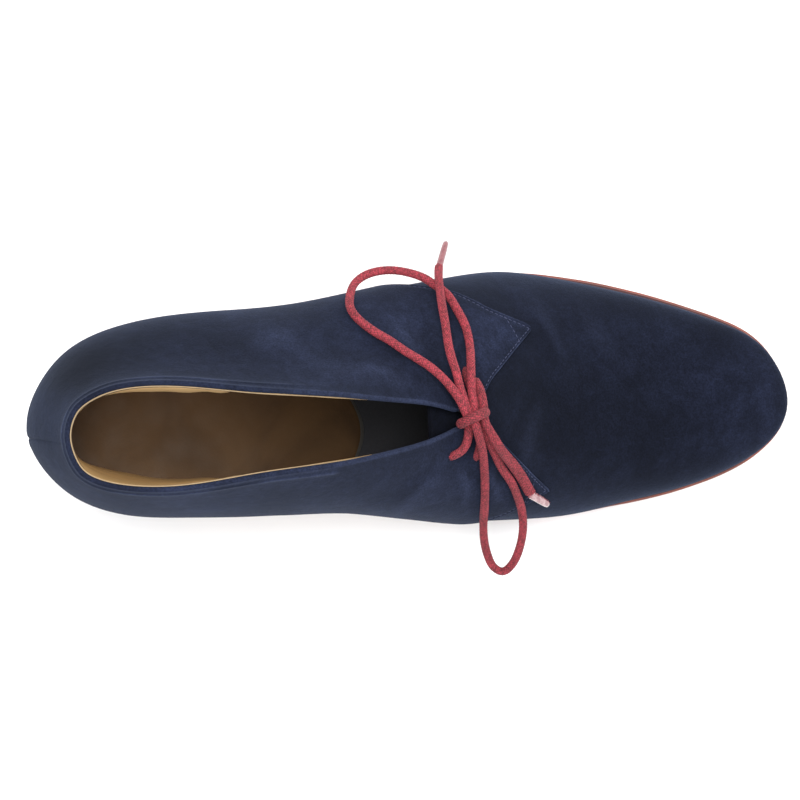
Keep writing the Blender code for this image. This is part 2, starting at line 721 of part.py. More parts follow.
def as_mesh(cord):
    """Mesh object in place of a cord, with its end caps joined on."""
    depsgraph = bpy.context.evaluated_depsgraph_get()
    mesh = bpy.data.meshes.new_from_object(cord.evaluated_get(depsgraph))
    shape = bmesh.new()
    shape.from_mesh(mesh)
    bmesh.ops.remove_doubles(shape, verts=shape.verts, dist=MERGE)
    shape.to_mesh(mesh)
    shape.free()
    name, owner, curve = cord.name, cord.users_collection[0], cord.data
    matrix = cord.matrix_world.copy()
    bpy.data.objects.remove(cord)
    bpy.data.curves.remove(curve)
    thing = bpy.data.objects.new(name, mesh)
    thing.matrix_world = matrix
    owner.objects.link(thing)
    return thing


def make_lace_bars(collection, cutters, material):
    """The bar between the front holes, with the two runs from the back holes that meet on it."""
    bars = as_mesh(make_cord("lace_bars", FRONT_BAR, LACE_DIAMETER, TIGHT_SPACING, collection, material))
    back = as_mesh(make_cord("back_lace_bar", BACK_BAR, LACE_DIAMETER, TIGHT_SPACING, cutters, material))
    back.hide_render = True
    back.display_type = "WIRE"
    union = bars.modifiers.new("joined on the crest", "BOOLEAN")
    union.object = back
    union.operation = "UNION"
    union.solver = "EXACT"


def make_laces(collection, cutters, lace, tip):
    make_lace_bars(collection, cutters, lace)
    make_cord("lace_knot", KNOT, LACE_DIAMETER, TIGHT_SPACING, collection, lace)
    for name, points in (("lace_loop_outer", OUTER_LOOP), ("lace_loop_inner", INNER_LOOP),
                         ("lace_end_outer", OUTER_END), ("lace_end_inner", INNER_END)):
        make_cord(name, points, LACE_DIAMETER, LACE_SPACING, collection, lace)
    for name, points in (("aglet_outer", OUTER_AGLET), ("aglet_inner", INNER_AGLET)):
        make_cord(name, points, AGLET_DIAMETER, AGLET_DIAMETER, collection, tip)


def main():
    for thing in list(bpy.data.objects):
        bpy.data.objects.remove(thing)
    boot = new_collection("heeled_ankle_boot")
    cutters = new_collection("cutters")
    suede = new_material("navy suede", (0.018, 0.020, 0.048), 0.9)
    board = new_material("dark insole", (0.03, 0.028, 0.03), 0.8)
    sock = new_material("brown sock leather", (0.14, 0.075, 0.04), 0.5)
    sole = new_material("red edged sole leather", (0.50, 0.10, 0.07), 0.45)
    stack = new_material("stacked heel leather", (0.12, 0.06, 0.035), 0.45)
    rubber = new_material("black lift rubber", (0.02, 0.02, 0.02), 0.7)
    lace = new_material("red cotton lace", (0.42, 0.05, 0.07), 0.85)
    tip = new_material("clear lace tip", (0.50, 0.22, 0.22), 0.2)
    make_hole_cutters(cutters)
    make_upper(boot, suede, cutters)
    make_quarters(boot, suede, cutters)
    make_tongue(boot, suede)
    make_insole(boot, board)
    make_sock(boot, sock)
    make_outsole(boot, sole)
    make_heel(boot, stack, rubber)
    bars = new_collection("lace_bar_parts")
    make_laces(boot, bars, lace, tip)


main()
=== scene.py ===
"""Left heeled ankle boot in navy suede with a red braided lace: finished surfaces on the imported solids."""
import math

import bmesh
import bpy
import numpy as np
from bpy.props import FloatProperty, FloatVectorProperty, PointerProperty
from bpy.types import Operator, Panel, PropertyGroup
from mathutils import Matrix, Vector
from mathutils.kdtree import KDTree


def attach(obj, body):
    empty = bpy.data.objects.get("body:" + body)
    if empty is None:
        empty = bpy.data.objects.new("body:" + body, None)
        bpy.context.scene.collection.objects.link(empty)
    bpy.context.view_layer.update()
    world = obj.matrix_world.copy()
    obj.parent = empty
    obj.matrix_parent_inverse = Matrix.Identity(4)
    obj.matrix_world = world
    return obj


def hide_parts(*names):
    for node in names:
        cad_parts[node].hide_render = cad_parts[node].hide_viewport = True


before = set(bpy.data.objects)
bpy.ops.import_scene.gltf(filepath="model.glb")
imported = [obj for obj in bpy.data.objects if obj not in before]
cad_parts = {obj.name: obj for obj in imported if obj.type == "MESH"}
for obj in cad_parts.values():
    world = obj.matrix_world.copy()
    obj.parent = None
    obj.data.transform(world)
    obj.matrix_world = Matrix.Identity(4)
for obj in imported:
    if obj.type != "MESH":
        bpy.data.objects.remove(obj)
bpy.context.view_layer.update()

bl_info = {
    "name": "Heeled Ankle Boot",
    "version": (1, 0, 0),
    "blender": (4, 5, 0),
    "location": "View3D > Sidebar > Boot",
    "description": "Finishes a left heeled ankle boot: suede, lining, sole, heel, stitches and lace",
    "category": "Object",
}

MM = 0.001
BODY = "root"

# ---------------------------------------------------------------- the last and the patterns

LENGTH = 0.252
BALL_WIDTH = 0.0838
INSTEP = 0.0588
HEEL_RISE = 0.0525
SOLE_THICKNESS = 0.0045
LIFT_THICKNESS = 0.006
WALL = 0.0018
GAP = 0.0003
INSOLE_THICKNESS = 0.0022
CENTRE = 0.00585
MIDDLE_ALONG = 0.12665
WIDEST = 0.24
THROAT = 0.580
FOOT_FULLNESS = 0.45
FOOT_RISE = 0.12

# Foot bed: share of the length, share of the heel's rise
BED = np.array((
    (0.000, 1.000), (0.100, 0.945), (0.218, 0.852), (0.300, 0.742), (0.400, 0.533), (0.500, 0.290),
    (0.575, 0.118), (0.630, 0.030), (0.668, 0.000), (0.738, 0.000), (0.800, 0.024), (0.870, 0.068),
    (0.940, 0.128), (1.000, 0.190),
))

# Ribs of the upper from heel to toe, in the same columns as the names below
RIBS = np.array((
    (0.0055, 0.036, -0.036,  4.0,  4.0, 20.0,  0.066, -1.9,  0.0, 1.267, 76, .40, .36),
    (0.0242, 0.198,  0.118,  4.0,  4.0, 20.0,  0.074, -2.4,  7.6, 1.265, 76, .40, .36),
    (0.0625, 0.320,  0.2315, 4.2,  4.2, 20.0,  0.090, -2.7, 11.8, 1.260, 77, .40, .36),
    (0.1210, 0.394,  0.302,  4.5,  4.8, 20.0,  0.127, -2.6, 15.2, 1.252, 78, .41, .37),
    (0.2000, 0.430,  0.326,  5.0,  6.0, 20.0,  0.200, -3.1, 16.1, 1.252, 77, .42, .38),
    (0.3000, 0.443,  0.340,  6.5,  9.0, 19.5,  0.300, -3.5, 13.1, 1.262, 72, .42, .38),
    (0.4000, 0.476,  0.344,  8.0, 11.5, 19.0,  0.400, -3.6, 10.6, 1.244, 60, .43, .40),
    (0.4700, 0.5155, 0.3735, 7.5, 10.5, 18.0,  0.470, -3.3,  8.0, 1.175, 46, .45, .43),
    (0.5500, 0.554,  0.414,  5.5,  7.0, 16.0,  0.550, -2.2,  3.1, 1.052, 20, .48, .46),
    (0.5800, 0.566,  0.424,  4.6,  5.5, 15.0,  0.580, -2.0,  0.0, 1.000,  6, .50, .48),
    (0.6200, 0.573,  0.427,  3.8,  4.2, 14.0,  0.620, -2.2,  0.0, 0.921,  0, .52, .50),
    (0.7000, 0.5345, 0.421,  3.0,  3.0, 12.5,  0.700, -2.6,  0.0, 0.738,  0, .55, .54),
    (0.7800, 0.4705, 0.379,  2.5,  2.5, 11.5,  0.774, -2.4,  0.0, 0.595,  0, .57, .57),
    (0.8600, 0.391,  0.3305, 2.4,  2.4,  9.2,  0.834, -1.8,  0.0, 0.487,  0, .59, .58),
    (0.9200, 0.315,  0.269,  2.3,  2.3,  7.9,  0.868, -1.3,  0.0, 0.430,  0, .58, .56),
    (0.9700, 0.218,  0.183,  2.3,  2.3,  6.9,  0.884, -1.0,  0.0, 0.407,  0, .57, .55),
    (1.0014, -0.004, 0.004,  2.3,  2.3,  6.6,  0.890, -0.9,  0.0, 0.396,  0, .57, .55),
))
ALONG, OUTER, INNER, TUCK_OUT, TUCK_IN, SWELL, CREST, MIDDLE, HALF, HEIGHT, LEAN, LOW, TOP = range(13)

# Quarters: share of the length, level of the seam below and of the free edge above
OUTER_FLAP = np.array((
    (0.350, 0.030, 1.000), (0.375, 0.050, 1.000), (0.405, 0.105, 1.000), (0.432, 0.175, 1.000),
    (0.459, 0.255, 1.000), (0.482, 0.330, 1.000), (0.510, 0.405, 1.000), (0.550, 0.488, 1.000),
    (0.567, 0.520, 0.975), (0.585, 0.557, 0.942), (0.600, 0.591, 0.876), (0.616, 0.619, 0.828),
    (0.632, 0.642, 0.779), (0.646, 0.660, 0.735), (0.654, 0.671, 0.710), (0.659, 0.682, 0.691),
))
INNER_FLAP = np.array((
    (0.400, 0.030, 1.000), (0.430, 0.050, 1.000), (0.460, 0.100, 1.000), (0.490, 0.155, 1.000),
    (0.520, 0.218, 1.000), (0.550, 0.285, 1.000), (0.569, 0.330, 0.985), (0.588, 0.375, 0.965),
    (0.605, 0.419, 0.900), (0.640, 0.520, 0.757), (0.672, 0.613, 0.613),
))

# Outsole: share of the length, reach beyond the sole line on the outer and the inner side, millimetres
SOLE_EDGE = np.array((
    (0.000, 1.5, 1.5), (0.200, 1.5, 1.4), (0.400, 1.2, 1.0), (0.500, 1.6, 1.4), (0.560, 2.8, 2.4),
    (0.630, 3.9, 2.9), (0.700, 4.4, 2.9), (0.750, 4.55, 2.8), (0.785, 4.4, 3.25), (0.830, 4.25, 3.35),
    (0.870, 4.05, 3.2), (0.920, 3.95, 3.3), (0.945, 3.7, 3.15), (0.965, 3.3, 2.9), (0.985, 2.9, 2.8),
    (1.000, 2.7, 2.7),
))

# Tongue: distance along the boot and half width, millimetres
TONGUE = np.array(((133.0, 14.0), (138.0, 16.0), (144.0, 17.0), (151.0, 17.0), (158.0, 16.0), (164.0, 14.0)))

# Lace holes: along and to the outer side, millimetres
LACE_HOLES = ((136.3, 11.5), (136.3, -14.4), (143.5, 14.8), (144.9, -15.7))

# Lace: routes through (along, to the outer side, height), millimetres
FRONT_BAR = (
    (143.7, 14.3, 63.2), (143.7, 14.2, 66.0), (143.9, 13.7, 68.6), (144.2, 12.2, 70.3),
    (144.7, 10.0, 71.2), (145.3, 7.4, 71.8), (146.0, 4.0, 72.5), (146.8, 0.0, 72.8),
    (147.2, -4.0, 72.2), (147.4, -8.0, 71.0), (147.2, -10.8, 69.9), (146.5, -13.0, 68.7),
    (145.6, -14.5, 67.0), (145.2, -15.0, 64.8), (145.2, -15.1, 62.2),
)
BACK_BAR = (
    (136.4, 11.6, 69.8), (136.5, 11.3, 72.6), (137.2, 10.3, 75.0), (138.6, 8.4, 76.5),
    (140.2, 6.0, 77.1), (141.9, 3.0, 77.0), (143.2, -0.5, 76.9), (143.7, -3.4, 76.4),
    (143.6, -6.3, 76.0), (143.1, -9.0, 75.6), (142.0, -11.3, 75.4), (140.4, -12.8, 75.6),
    (138.7, -13.6, 75.4), (137.5, -14.0, 74.1), (137.0, -14.1, 71.8), (137.0, -14.2, 69.2),
)
KNOT_CENTRE = (145.3, -2.0, 78.7)
KNOT_ACROSS = (0.93, 0.37, 0.0)     # way the wrap lies over the bundle
KNOT_HALF = (4.3, 4.3)              # half width and half height of the wrap
OUTER_LOOP = (
    (144.3, -2.4, 80.0), (143.2, -0.6, 81.1), (142.0, 2.4, 82.0), (140.1, 6.3, 82.4),
    (137.2, 10.3, 82.3), (133.7, 14.1, 81.2), (128.6, 18.2, 79.5), (123.9, 21.5, 79.3),
    (119.5, 24.9, 79.0), (115.4, 27.6, 78.6), (111.7, 30.6, 77.4), (109.1, 33.3, 75.4),
    (107.4, 36.4, 72.4), (107.2, 39.4, 68.0), (107.9, 42.6, 63.2), (109.5, 45.4, 59.0),
    (113.0, 47.8, 55.4), (120.9, 49.1, 51.8), (127.4, 47.9, 50.6), (132.3, 45.8, 51.0),
    (135.6, 43.3, 52.8), (139.2, 40.1, 55.4), (142.2, 34.8, 59.2), (144.7, 28.9, 62.6),
    (145.8, 21.5, 66.8), (145.7, 16.5, 72.7), (145.5, 11.5, 75.7), (145.4, 7.5, 76.6),
    (145.6, 4.2, 77.9), (145.9, 1.5, 78.5), (146.0, -1.2, 78.2), (145.8, -3.4, 77.6),
)
INNER_LOOP = (
    (145.5, -2.6, 80.2), (146.3, -5.8, 79.8), (147.2, -9.6, 77.2), (147.9, -13.0, 73.2),
    (148.1, -16.2, 69.3), (148.2, -22.2, 63.0), (147.9, -28.9, 55.6), (147.6, -32.3, 50.7),
    (147.2, -36.2, 44.8), (147.2, -42.3, 38.2), (148.5, -48.4, 32.7), (150.4, -51.7, 30.6),
    (152.9, -52.9, 30.0), (155.4, -51.5, 31.2), (158.0, -47.6, 33.8), (159.6, -43.0, 36.8),
    (160.4, -38.1, 39.8), (160.2, -33.1, 43.0), (158.8, -27.9, 50.2), (156.6, -22.7, 56.9),
    (154.1, -18.8, 61.4), (151.4, -12.8, 68.4), (149.6, -8.7, 72.2), (148.5, -5.2, 74.9),
    (147.6, -2.6, 76.4),
)
OUTER_END = (
    (145.2, -3.0, 78.8), (144.4, -1.0, 79.5), (143.4, 1.4, 79.7), (142.7, 4.0, 79.6), (141.6, 8.4, 79.3),
    (140.8, 12.7, 78.6), (139.6, 17.5, 76.8),
    (138.6, 23.5, 73.4), (138.1, 30.0, 69.4), (137.4, 36.5, 64.6), (137.2, 40.1, 60.8), (137.0, 43.6, 57.4),
    (137.0, 46.6, 52.8), (137.3, 49.4, 47.4),
)
INNER_END = (
    (146.9, 10.2, 72.0), (147.9, 8.0, 74.6), (148.6, 5.0, 76.9), (149.0, 1.0, 78.5), (149.1, -3.0, 78.9),
    (150.7, -6.8, 77.5), (152.6, -10.4, 74.6), (154.1, -13.0, 71.2), (155.6, -15.0, 67.8),
    (157.8, -17.9, 62.4), (160.0, -21.2, 57.2), (161.7, -24.3, 52.8), (163.2, -27.3, 49.2),
)
OUTER_AGLET = ((137.5, 49.8, 46.9), (140.2, 57.9, 36.0))
INNER_AGLET = ((163.4, -27.8, 48.7), (169.2, -31.4, 38.5))

# Foot of the heel's lining on the sock, round from the inner side: along and to the outer side, millimetres
LINING_FOOT = np.array((
    (108.0, -21.0), (90.0, -18.8), (75.0, -17.4), (60.8, -16.5), (53.0, -16.0), (45.1, -15.8), (37.3, -14.7),
    (29.5, -12.7), (21.8, -10.6), (16.5, -8.5), (13.6, -4.4), (13.0, -0.2), (13.9, 4.6), (16.9, 8.7),
    (20.6, 11.3), (25.0, 12.9), (30.6, 13.5), (38.2, 13.4), (46.1, 13.0), (57.9, 12.4), (68.0, 12.6),
    (90.0, 14.2), (108.0, 16.0),
))
FOOT_CENTRE = np.array((60.0, -2.0))
SOCK_TOP = 3.7 * MM          # height above the bed at which the lining's foot stands on the sock
DRAWN_IN_END = 104 * MM      # the lining is drawn in to that line from here back,
DRAWN_IN_FADE = 28 * MM      # fully so after this distance
SINK_START = 98 * MM         # its edge sinks behind the suede from here on,
SINK_FADE = 22 * MM          # fully so after this distance
DRILL_START = 0.44 * LENGTH  # the drill lining starts here below the crest,
DRILL_TOP = 118 * MM         # and reaches the crest from here on
VAMP_WALL = WALL - 0.8 * MM  # the suede's share of the wall; the lining has the rest

# The toe's crest is smoothed round a place along the boot, over these half lengths, in so many passes
TOE_MIDDLE, TOE_LONG, TOE_WIDE, TOE_PASSES = 0.226, 0.033, 0.030, 110

# Creases: start and end as (along, side) in millimetres, half width and depth in millimetres
CREASES = (
    ((142, -18), (151, -31), 1.8, 0.26),
    ((135, -17), (137, -30), 2.0, 0.24),
    ((131, -14), (118, -25), 2.4, 0.24),
    ((124, -20), (104, -27), 3.2, 0.22),
    ((143, 17), (150, 30), 2.0, 0.18),
    ((133, 16), (127, 33), 2.8, 0.26),
    ((126, 13), (108, 24), 3.0, 0.24),
    ((116, 19), (90, 27), 3.8, 0.22),
    ((166, -30), (176, 2), 3.6, 0.20),
    ((160, 36), (173, 8), 3.8, 0.22),
    ((178, -28), (186, 4), 4.2, 0.14),
    ((176, 36), (187, 10), 4.2, 0.14),
    ((84, -28), (62, -30), 4.0, 0.30),
    ((96, 36), (70, 36), 4.4, 0.28),
)

# Brushed nap together with painted light and shade, lighter above 0 and darker below 0: place (along, side),
# reach both ways, strength
NAP_AND_SHADE = (
    ((17, 20), (11, 9), -0.95), ((38, 27), (19, 9), -0.50), ((6, -4), (6, 14), -0.30),
    ((66, 26), (12, 6), -0.25), ((47, 25), (8, 5), 0.20), ((33, -22), (12, 6), -0.20),
    ((55, -24), (14, 5), 0.30), ((82, -24), (10, 6), -0.15), ((108, 37), (9, 6), 0.50),
    ((122, 30), (10, 6), 0.25), ((152, 22), (9, 8), 0.35), ((147, -26), (10, 7), 0.15),
    ((172, 32), (22, 9), 0.30), ((200, 24), (14, 9), 0.45), ((229, 10), (13, 12), 0.45),
    ((246, 0), (8, 14), 0.60), ((240, -16), (12, 9), 0.40), ((228, -6), (14, 14), 0.25),
    ((196, -30), (22, 6), 0.20), ((166, 4), (9, 14), -0.10),
)


def plan_of(points):
    """Places of points along the boot and to its outer side, in metres."""
    points = np.asarray(points)
    return MIDDLE_ALONG - points[..., 1], points[..., 0] + CENTRE


def nap(points):
    """Brushed nap together with painted light and shade at each point: lighter above 0, darker below."""
    along, side = plan_of(points)
    value = np.zeros(along.shape)
    for (middle, beside), (long, wide), strength in NAP_AND_SHADE:
        value += strength * np.exp(-((along / MM - middle) / long) ** 2 - ((side / MM - beside) / wide) ** 2)
    return np.clip(value, -1, 1)


def soft_step(share):
    """A share kept between 0 and 1, which starts and stops softly."""
    share = np.clip(share, 0, 1)
    return share * share * (3 - 2 * share)


def hump(distance, width):
    """A rounded bump: 1 at no distance, gone a few widths away."""
    return np.exp(-(distance / width) ** 2)


def unit(vectors):
    """Vectors made one long."""
    return vectors / np.maximum(np.linalg.norm(vectors, axis=-1, keepdims=True), 1e-12)


def runs(line):
    """Distances along a line of points from its first."""
    return np.append(0.0, np.cumsum(np.linalg.norm(np.diff(line, axis=0), axis=1)))


def points_at(stops, run, line):
    """Points of a line at distances along it."""
    return np.stack([np.interp(stops, run, part) for part in np.transpose(line)], axis=-1)


def smooth(table, at):
    """Value of a two-column table at a place, on a smooth curve through its rows."""
    places, values = table[:, 0], table[:, 1]
    spans = np.diff(places)
    rates = np.diff(values) / spans
    slopes = np.empty_like(values)
    slopes[1:-1] = (rates[:-1] * spans[1:] + rates[1:] * spans[:-1]) / (spans[:-1] + spans[1:])
    slopes[0], slopes[-1] = rates[0], rates[-1]
    at = np.clip(at, places[0], places[-1])
    row = min(int(np.searchsorted(places, at, side="right")) - 1, len(spans) - 1)
    t = (at - places[row]) / spans[row]
    rise = values[row + 1] - values[row]
    start, end = slopes[row] * spans[row], slopes[row + 1] * spans[row]
    square, cube = 3 * rise - 2 * start - end, start + end - 2 * rise
    return values[row] + t * start + t * t * square + t ** 3 * cube


def bed_height(along):
    """Height of the sole line above the floor."""
    return SOLE_THICKNESS + GAP + max(0.0, smooth(BED, along / LENGTH)) * HEEL_RISE


def sole_underside(along):
    """Height of the sole's underside."""
    return max(0.0, bed_height(along) - GAP - SOLE_THICKNESS)


def place(points):
    """Points (along, side, height) in metres, in the boot's own frame."""
    points = np.asarray(points, float)
    return np.stack((points[..., 1] - CENTRE, MIDDLE_ALONG - points[..., 0], points[..., 2]), axis=-1)


def spline(knots, values, period=None):
    """A smooth curve through the values at the knots, as a function of the knot; a period closes it."""
    count = len(knots)
    ends = np.append(knots, knots[0] + period) if period else knots
    spans = np.diff(ends)
    matrix = np.eye(count)
    target = np.zeros_like(values)
    for row in range(count) if period else range(1, count - 1):
        following = (row + 1) % count
        before, after = spans[row - 1], spans[row]
        matrix[row, [row - 1, row, following]] = before, 2 * (before + after), after
        rise, climb = values[following] - values[row], values[row] - values[row - 1]
        target[row] = 6 * (rise / after - climb / before)
    bends = np.linalg.solve(matrix, target)

    def at(knot):
        knot = knot % period if period else knot
        row = min(int(np.searchsorted(ends, knot, side="right")), len(spans)) - 1
        following = (row + 1) % count
        right = (knot - ends[row]) / spans[row]
        left = 1 - right
        bend = (left ** 3 - left) * bends[row] + (right ** 3 - right) * bends[following]
        return left * values[row] + right * values[following] + bend * spans[row] ** 2 / 6

    return at


def loop_of_ribs():
    """Knots and values of the ribs round the boot: to the toe on the outer side, back on the inner."""
    outer = np.column_stack((RIBS, RIBS[:, OUTER]))
    inner = np.column_stack((RIBS, -RIBS[:, INNER]))
    inner[:, HALF] *= -1
    inner[:, TUCK_OUT] = RIBS[:, TUCK_IN]
    forward = np.diff(RIBS[:, ALONG] * LENGTH)
    steps = sum(np.hypot(forward, np.diff(RIBS[:, side]) * BALL_WIDTH) for side in (OUTER, INNER)) / 2
    ahead = np.append(0.0, np.cumsum(steps))
    period = 2 * ahead[-1]
    knots = np.concatenate((ahead, (period - ahead[1:-1])[::-1]))
    return knots, np.vstack((outer, inner[1:-1][::-1])), period


KNOTS, LOOP, PERIOD = loop_of_ribs()
RIB_AT = spline(KNOTS, LOOP, PERIOD)
REACH = LOOP.shape[1] - 1


def rib_frame(knot):
    """Widest point of a rib, its outward direction in plan, and the rib's values."""
    values = RIB_AT(knot)
    step = PERIOD * 1e-4
    change = RIB_AT(knot + step) - RIB_AT(knot - step)
    tangent = np.array((change[ALONG] * LENGTH, change[REACH] * BALL_WIDTH))
    tangent /= np.linalg.norm(tangent)
    widest = np.array((values[ALONG] * LENGTH, values[REACH] * BALL_WIDTH))
    return widest, np.array((-tangent[1], tangent[0])), values


def crest_height(along):
    """Height of the crest."""
    return bed_height(along) + smooth(RIBS[:, (CREST, HEIGHT)], along / LENGTH) * INSTEP


def crest_middle(along):
    """How far to the outer side the middle of the crest lies."""
    return smooth(RIBS[:, (CREST, MIDDLE)], along / LENGTH) * MM


def rib_curves(knot):
    """Control points of a rib's two curves, as (along, side, height), which meet at its widest line."""
    plan, outward, values = rib_frame(knot)
    swell = values[SWELL] * MM
    foot_plan = plan - outward * values[TUCK_OUT] * MM
    foot = np.append(foot_plan, bed_height(foot_plan[0]))
    widest = np.append(plan, bed_height(plan[0]) + swell)
    crest_along = values[CREST] * LENGTH
    half = values[HALF] if values[CREST] < THROAT else 0.0
    crest = np.array((crest_along, (values[MIDDLE] + half) * MM, crest_height(crest_along)))
    up = np.array((0.0, 0.0, 1.0))
    spread = np.append(outward * values[TUCK_OUT] * MM, 0.0)
    low_curve = (foot, foot + spread * FOOT_FULLNESS + up * swell * FOOT_RISE,
                 widest - up * swell * FOOT_FULLNESS, widest)
    away = plan - crest[:2]
    reach = np.linalg.norm(away)
    away /= reach
    lean = math.radians(values[LEAN])
    fall = (crest_height(crest_along + MM) - crest_height(crest_along - MM)) / (2 * MM)
    ending = np.array((away[0] * math.cos(lean), away[1] * math.cos(lean),
                       math.cos(lean) * fall * away[0] - math.sin(lean)))
    climb = crest[2] - widest[2]
    handle = values[TOP] * (math.cos(lean) * reach + math.sin(lean) * climb)
    high_curve = (widest, widest + up * values[LOW] * climb, crest + ending * handle, crest)
    return np.array(low_curve), np.array(high_curve)


def bezier(curve, t):
    """Points on a cubic curve at several places."""
    t = np.asarray(t, float)[:, None]
    left = 1 - t
    return (left ** 3 * curve[0] + 3 * left * left * t * curve[1]
            + 3 * left * t * t * curve[2] + t ** 3 * curve[3])


def rib_at_levels(curves, levels):
    """Points of a rib at levels from 0, the sole line, to 1, the crest."""
    levels = np.asarray(levels, float)
    low, high = curves
    below = levels < WIDEST
    points = np.empty((len(levels), 3))
    points[below] = bezier(low, levels[below] / WIDEST)
    points[~below] = bezier(high, (levels[~below] - WIDEST) / (1 - WIDEST))
    return points


def halve(low, high, short, times):
    """Place between two ends up to which a test holds, found by halving the way between them."""
    for _ in range(times):
        middle = (low + high) / 2
        if short(middle):
            low = middle
        else:
            high = middle
    return low


def knot_at(along, side):
    """Knot of the rib whose crest lies at a place along the boot, on the outer side or the inner."""
    return halve(0.0 if side > 0 else PERIOD, PERIOD / 2,
                 lambda knot: RIB_AT(knot)[CREST] * LENGTH < along, 40)


def wall_point(along, side):
    """Point of the upper's outer face above a place in plan, bridging the collar's opening."""
    middle = crest_middle(along)
    curves = rib_curves(knot_at(along, side - middle))
    reach = abs(side - middle)
    if reach <= abs(curves[1][3][1] - middle):
        return np.array((along, side, crest_height(along)))
    level = halve(WIDEST, 1.0, lambda at: abs(rib_at_levels(curves, [at])[0][1] - middle) > reach, 30)
    return rib_at_levels(curves, [level])[0]


def sole_line(knot, beyond):
    """Place in plan that lies beyond the sole line, outwards, on a rib."""
    plan, outward, values = rib_frame(knot)
    return plan - outward * (values[TUCK_OUT] * MM - beyond)


# ---------------------------------------------------------------- meshes


def grid_faces(rows, columns, closed_rows=False, closed_columns=False):
    """Four-sided faces of a grid of points, as index rows."""
    down = np.arange(rows if closed_rows else rows - 1)
    across = np.arange(columns if closed_columns else columns - 1)
    here, step = np.meshgrid(down, across, indexing="ij")
    below, beside = (here + 1) % rows, (step + 1) % columns
    faces = np.stack((here * columns + step, below * columns + step,
                      below * columns + beside, here * columns + beside), axis=-1)
    return faces.reshape(-1, 4)


def normals(grid):
    """Unit normals of a grid of points, from its own slopes."""
    return unit(np.cross(np.gradient(grid, axis=0), np.gradient(grid, axis=1)))


def facing_out(grid, normal):
    """Normals of a grid round the boot, turned to point out of it."""
    row = len(grid) // 2
    return normal * np.sign(normal[row, 20] @ (grid[row, 20] - grid.mean(axis=(0, 1))))


def show(name, data):
    """An object of some data, put in the scene."""
    thing = bpy.data.objects.new(name, data)
    bpy.context.scene.collection.objects.link(thing)
    return thing


def shade(thing, sharp):
    """Shades a piece smooth but for edges sharper than an angle in degrees."""
    thing.data.shade_smooth()
    if sharp:
        thing.data.set_sharp_from_angle(angle=math.radians(sharp))


def make_mesh(name, points, faces, materials, slots=None, sharp=None, merge=1e-6, closed=True):
    """Object of a mesh; corners that coincide are merged, and the faces of a closed one point out."""
    mesh = bpy.data.meshes.new(name)
    mesh.from_pydata(np.asarray(points).tolist(), [],
                     faces.tolist() if isinstance(faces, np.ndarray) else faces)
    for material in materials:
        mesh.materials.append(material)
    if slots is not None:
        mesh.polygons.foreach_set("material_index", slots)
    shape = bmesh.new()
    shape.from_mesh(mesh)
    bmesh.ops.remove_doubles(shape, verts=shape.verts, dist=merge)
    shape.to_mesh(mesh)
    shape.free()
    thing = show(name, mesh)
    shade(thing, sharp)
    return outward(thing) if closed else thing


def outward(thing):
    """Turns a closed mesh's faces to point out."""
    shape = bmesh.new()
    shape.from_mesh(thing.data)
    bmesh.ops.recalc_face_normals(shape, faces=shape.faces)
    if shape.calc_volume(signed=True) < 0:
        bmesh.ops.reverse_faces(shape, faces=shape.faces)
    shape.to_mesh(thing.data)
    shape.free()
    return thing


def settle(thing, slot, *nodes):
    """Puts a finished piece on its body in place of its solids."""
    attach(thing, BODY)
    if nodes:
        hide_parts(*nodes)
    return thing


def relief(points):
    """How far the suede stands out or in at points of the boot's frame, in metres: its creases."""
    along, side = [part / MM for part in plan_of(points)]
    height = np.zeros(along.shape)
    for (a0, s0), (a1, s1), width, depth in CREASES:
        run = np.array((a1 - a0, s1 - s0), float)
        size = np.linalg.norm(run)
        run /= size
        forward = (along - a0) * run[0] + (side - s0) * run[1]
        off = (side - s0) * run[0] - (along - a0) * run[1] + 1.4 * np.sin(forward / size * 3.6 + a0)
        beyond = np.maximum(0, np.abs(forward - size / 2) - size / 2)
        fade = np.sin(np.pi * (0.12 + 0.76 * np.clip(forward / size, 0, 1))) * np.exp(-beyond ** 2 / 18)
        height += depth * fade * (0.75 * hump(off - 1.9 * width, 1.1 * width) - hump(off, width))
    return height * MM * bpy.context.scene.boot.crease_depth


def crease_rub_and_shade(creases):
    """How rubbed the nap is on the ridges of the creases, and the painted shade in their troughs."""
    return np.clip(creases / (0.25 * MM), -0.6, 1) * 0.3


# ---------------------------------------------------------------- materials


def linear(code):
    """Linear colour of an sRGB hex value."""
    parts = [int(code[i:i + 2], 16) / 255 for i in (1, 3, 5)]
    return (*[c / 12.92 if c <= 0.04045 else ((c + 0.055) / 1.055) ** 2.4 for c in parts], 1.0)


def chosen(name, share=1.0):
    """One of the boot's colours, made darker or lighter by a share."""
    return (*[min(part * share, 1.0) for part in getattr(bpy.context.scene.boot, name)], 1.0)


def per_mm(size):
    """Scale of a pattern whose features are that many millimetres across, on coordinates in metres."""
    return 1000.0 / size


def add(tree, kind, inputs=(), **settings):
    """Adds a node with its settings; each input takes a value, or a socket to link from."""
    made = tree.nodes.new(kind)
    for name, value in settings.items():
        setattr(made, name, value)
    for name, value in dict(inputs).items():
        if isinstance(value, bpy.types.NodeSocket):
            tree.links.new(value, made.inputs[name])
        else:
            made.inputs[name].default_value = value
    return made


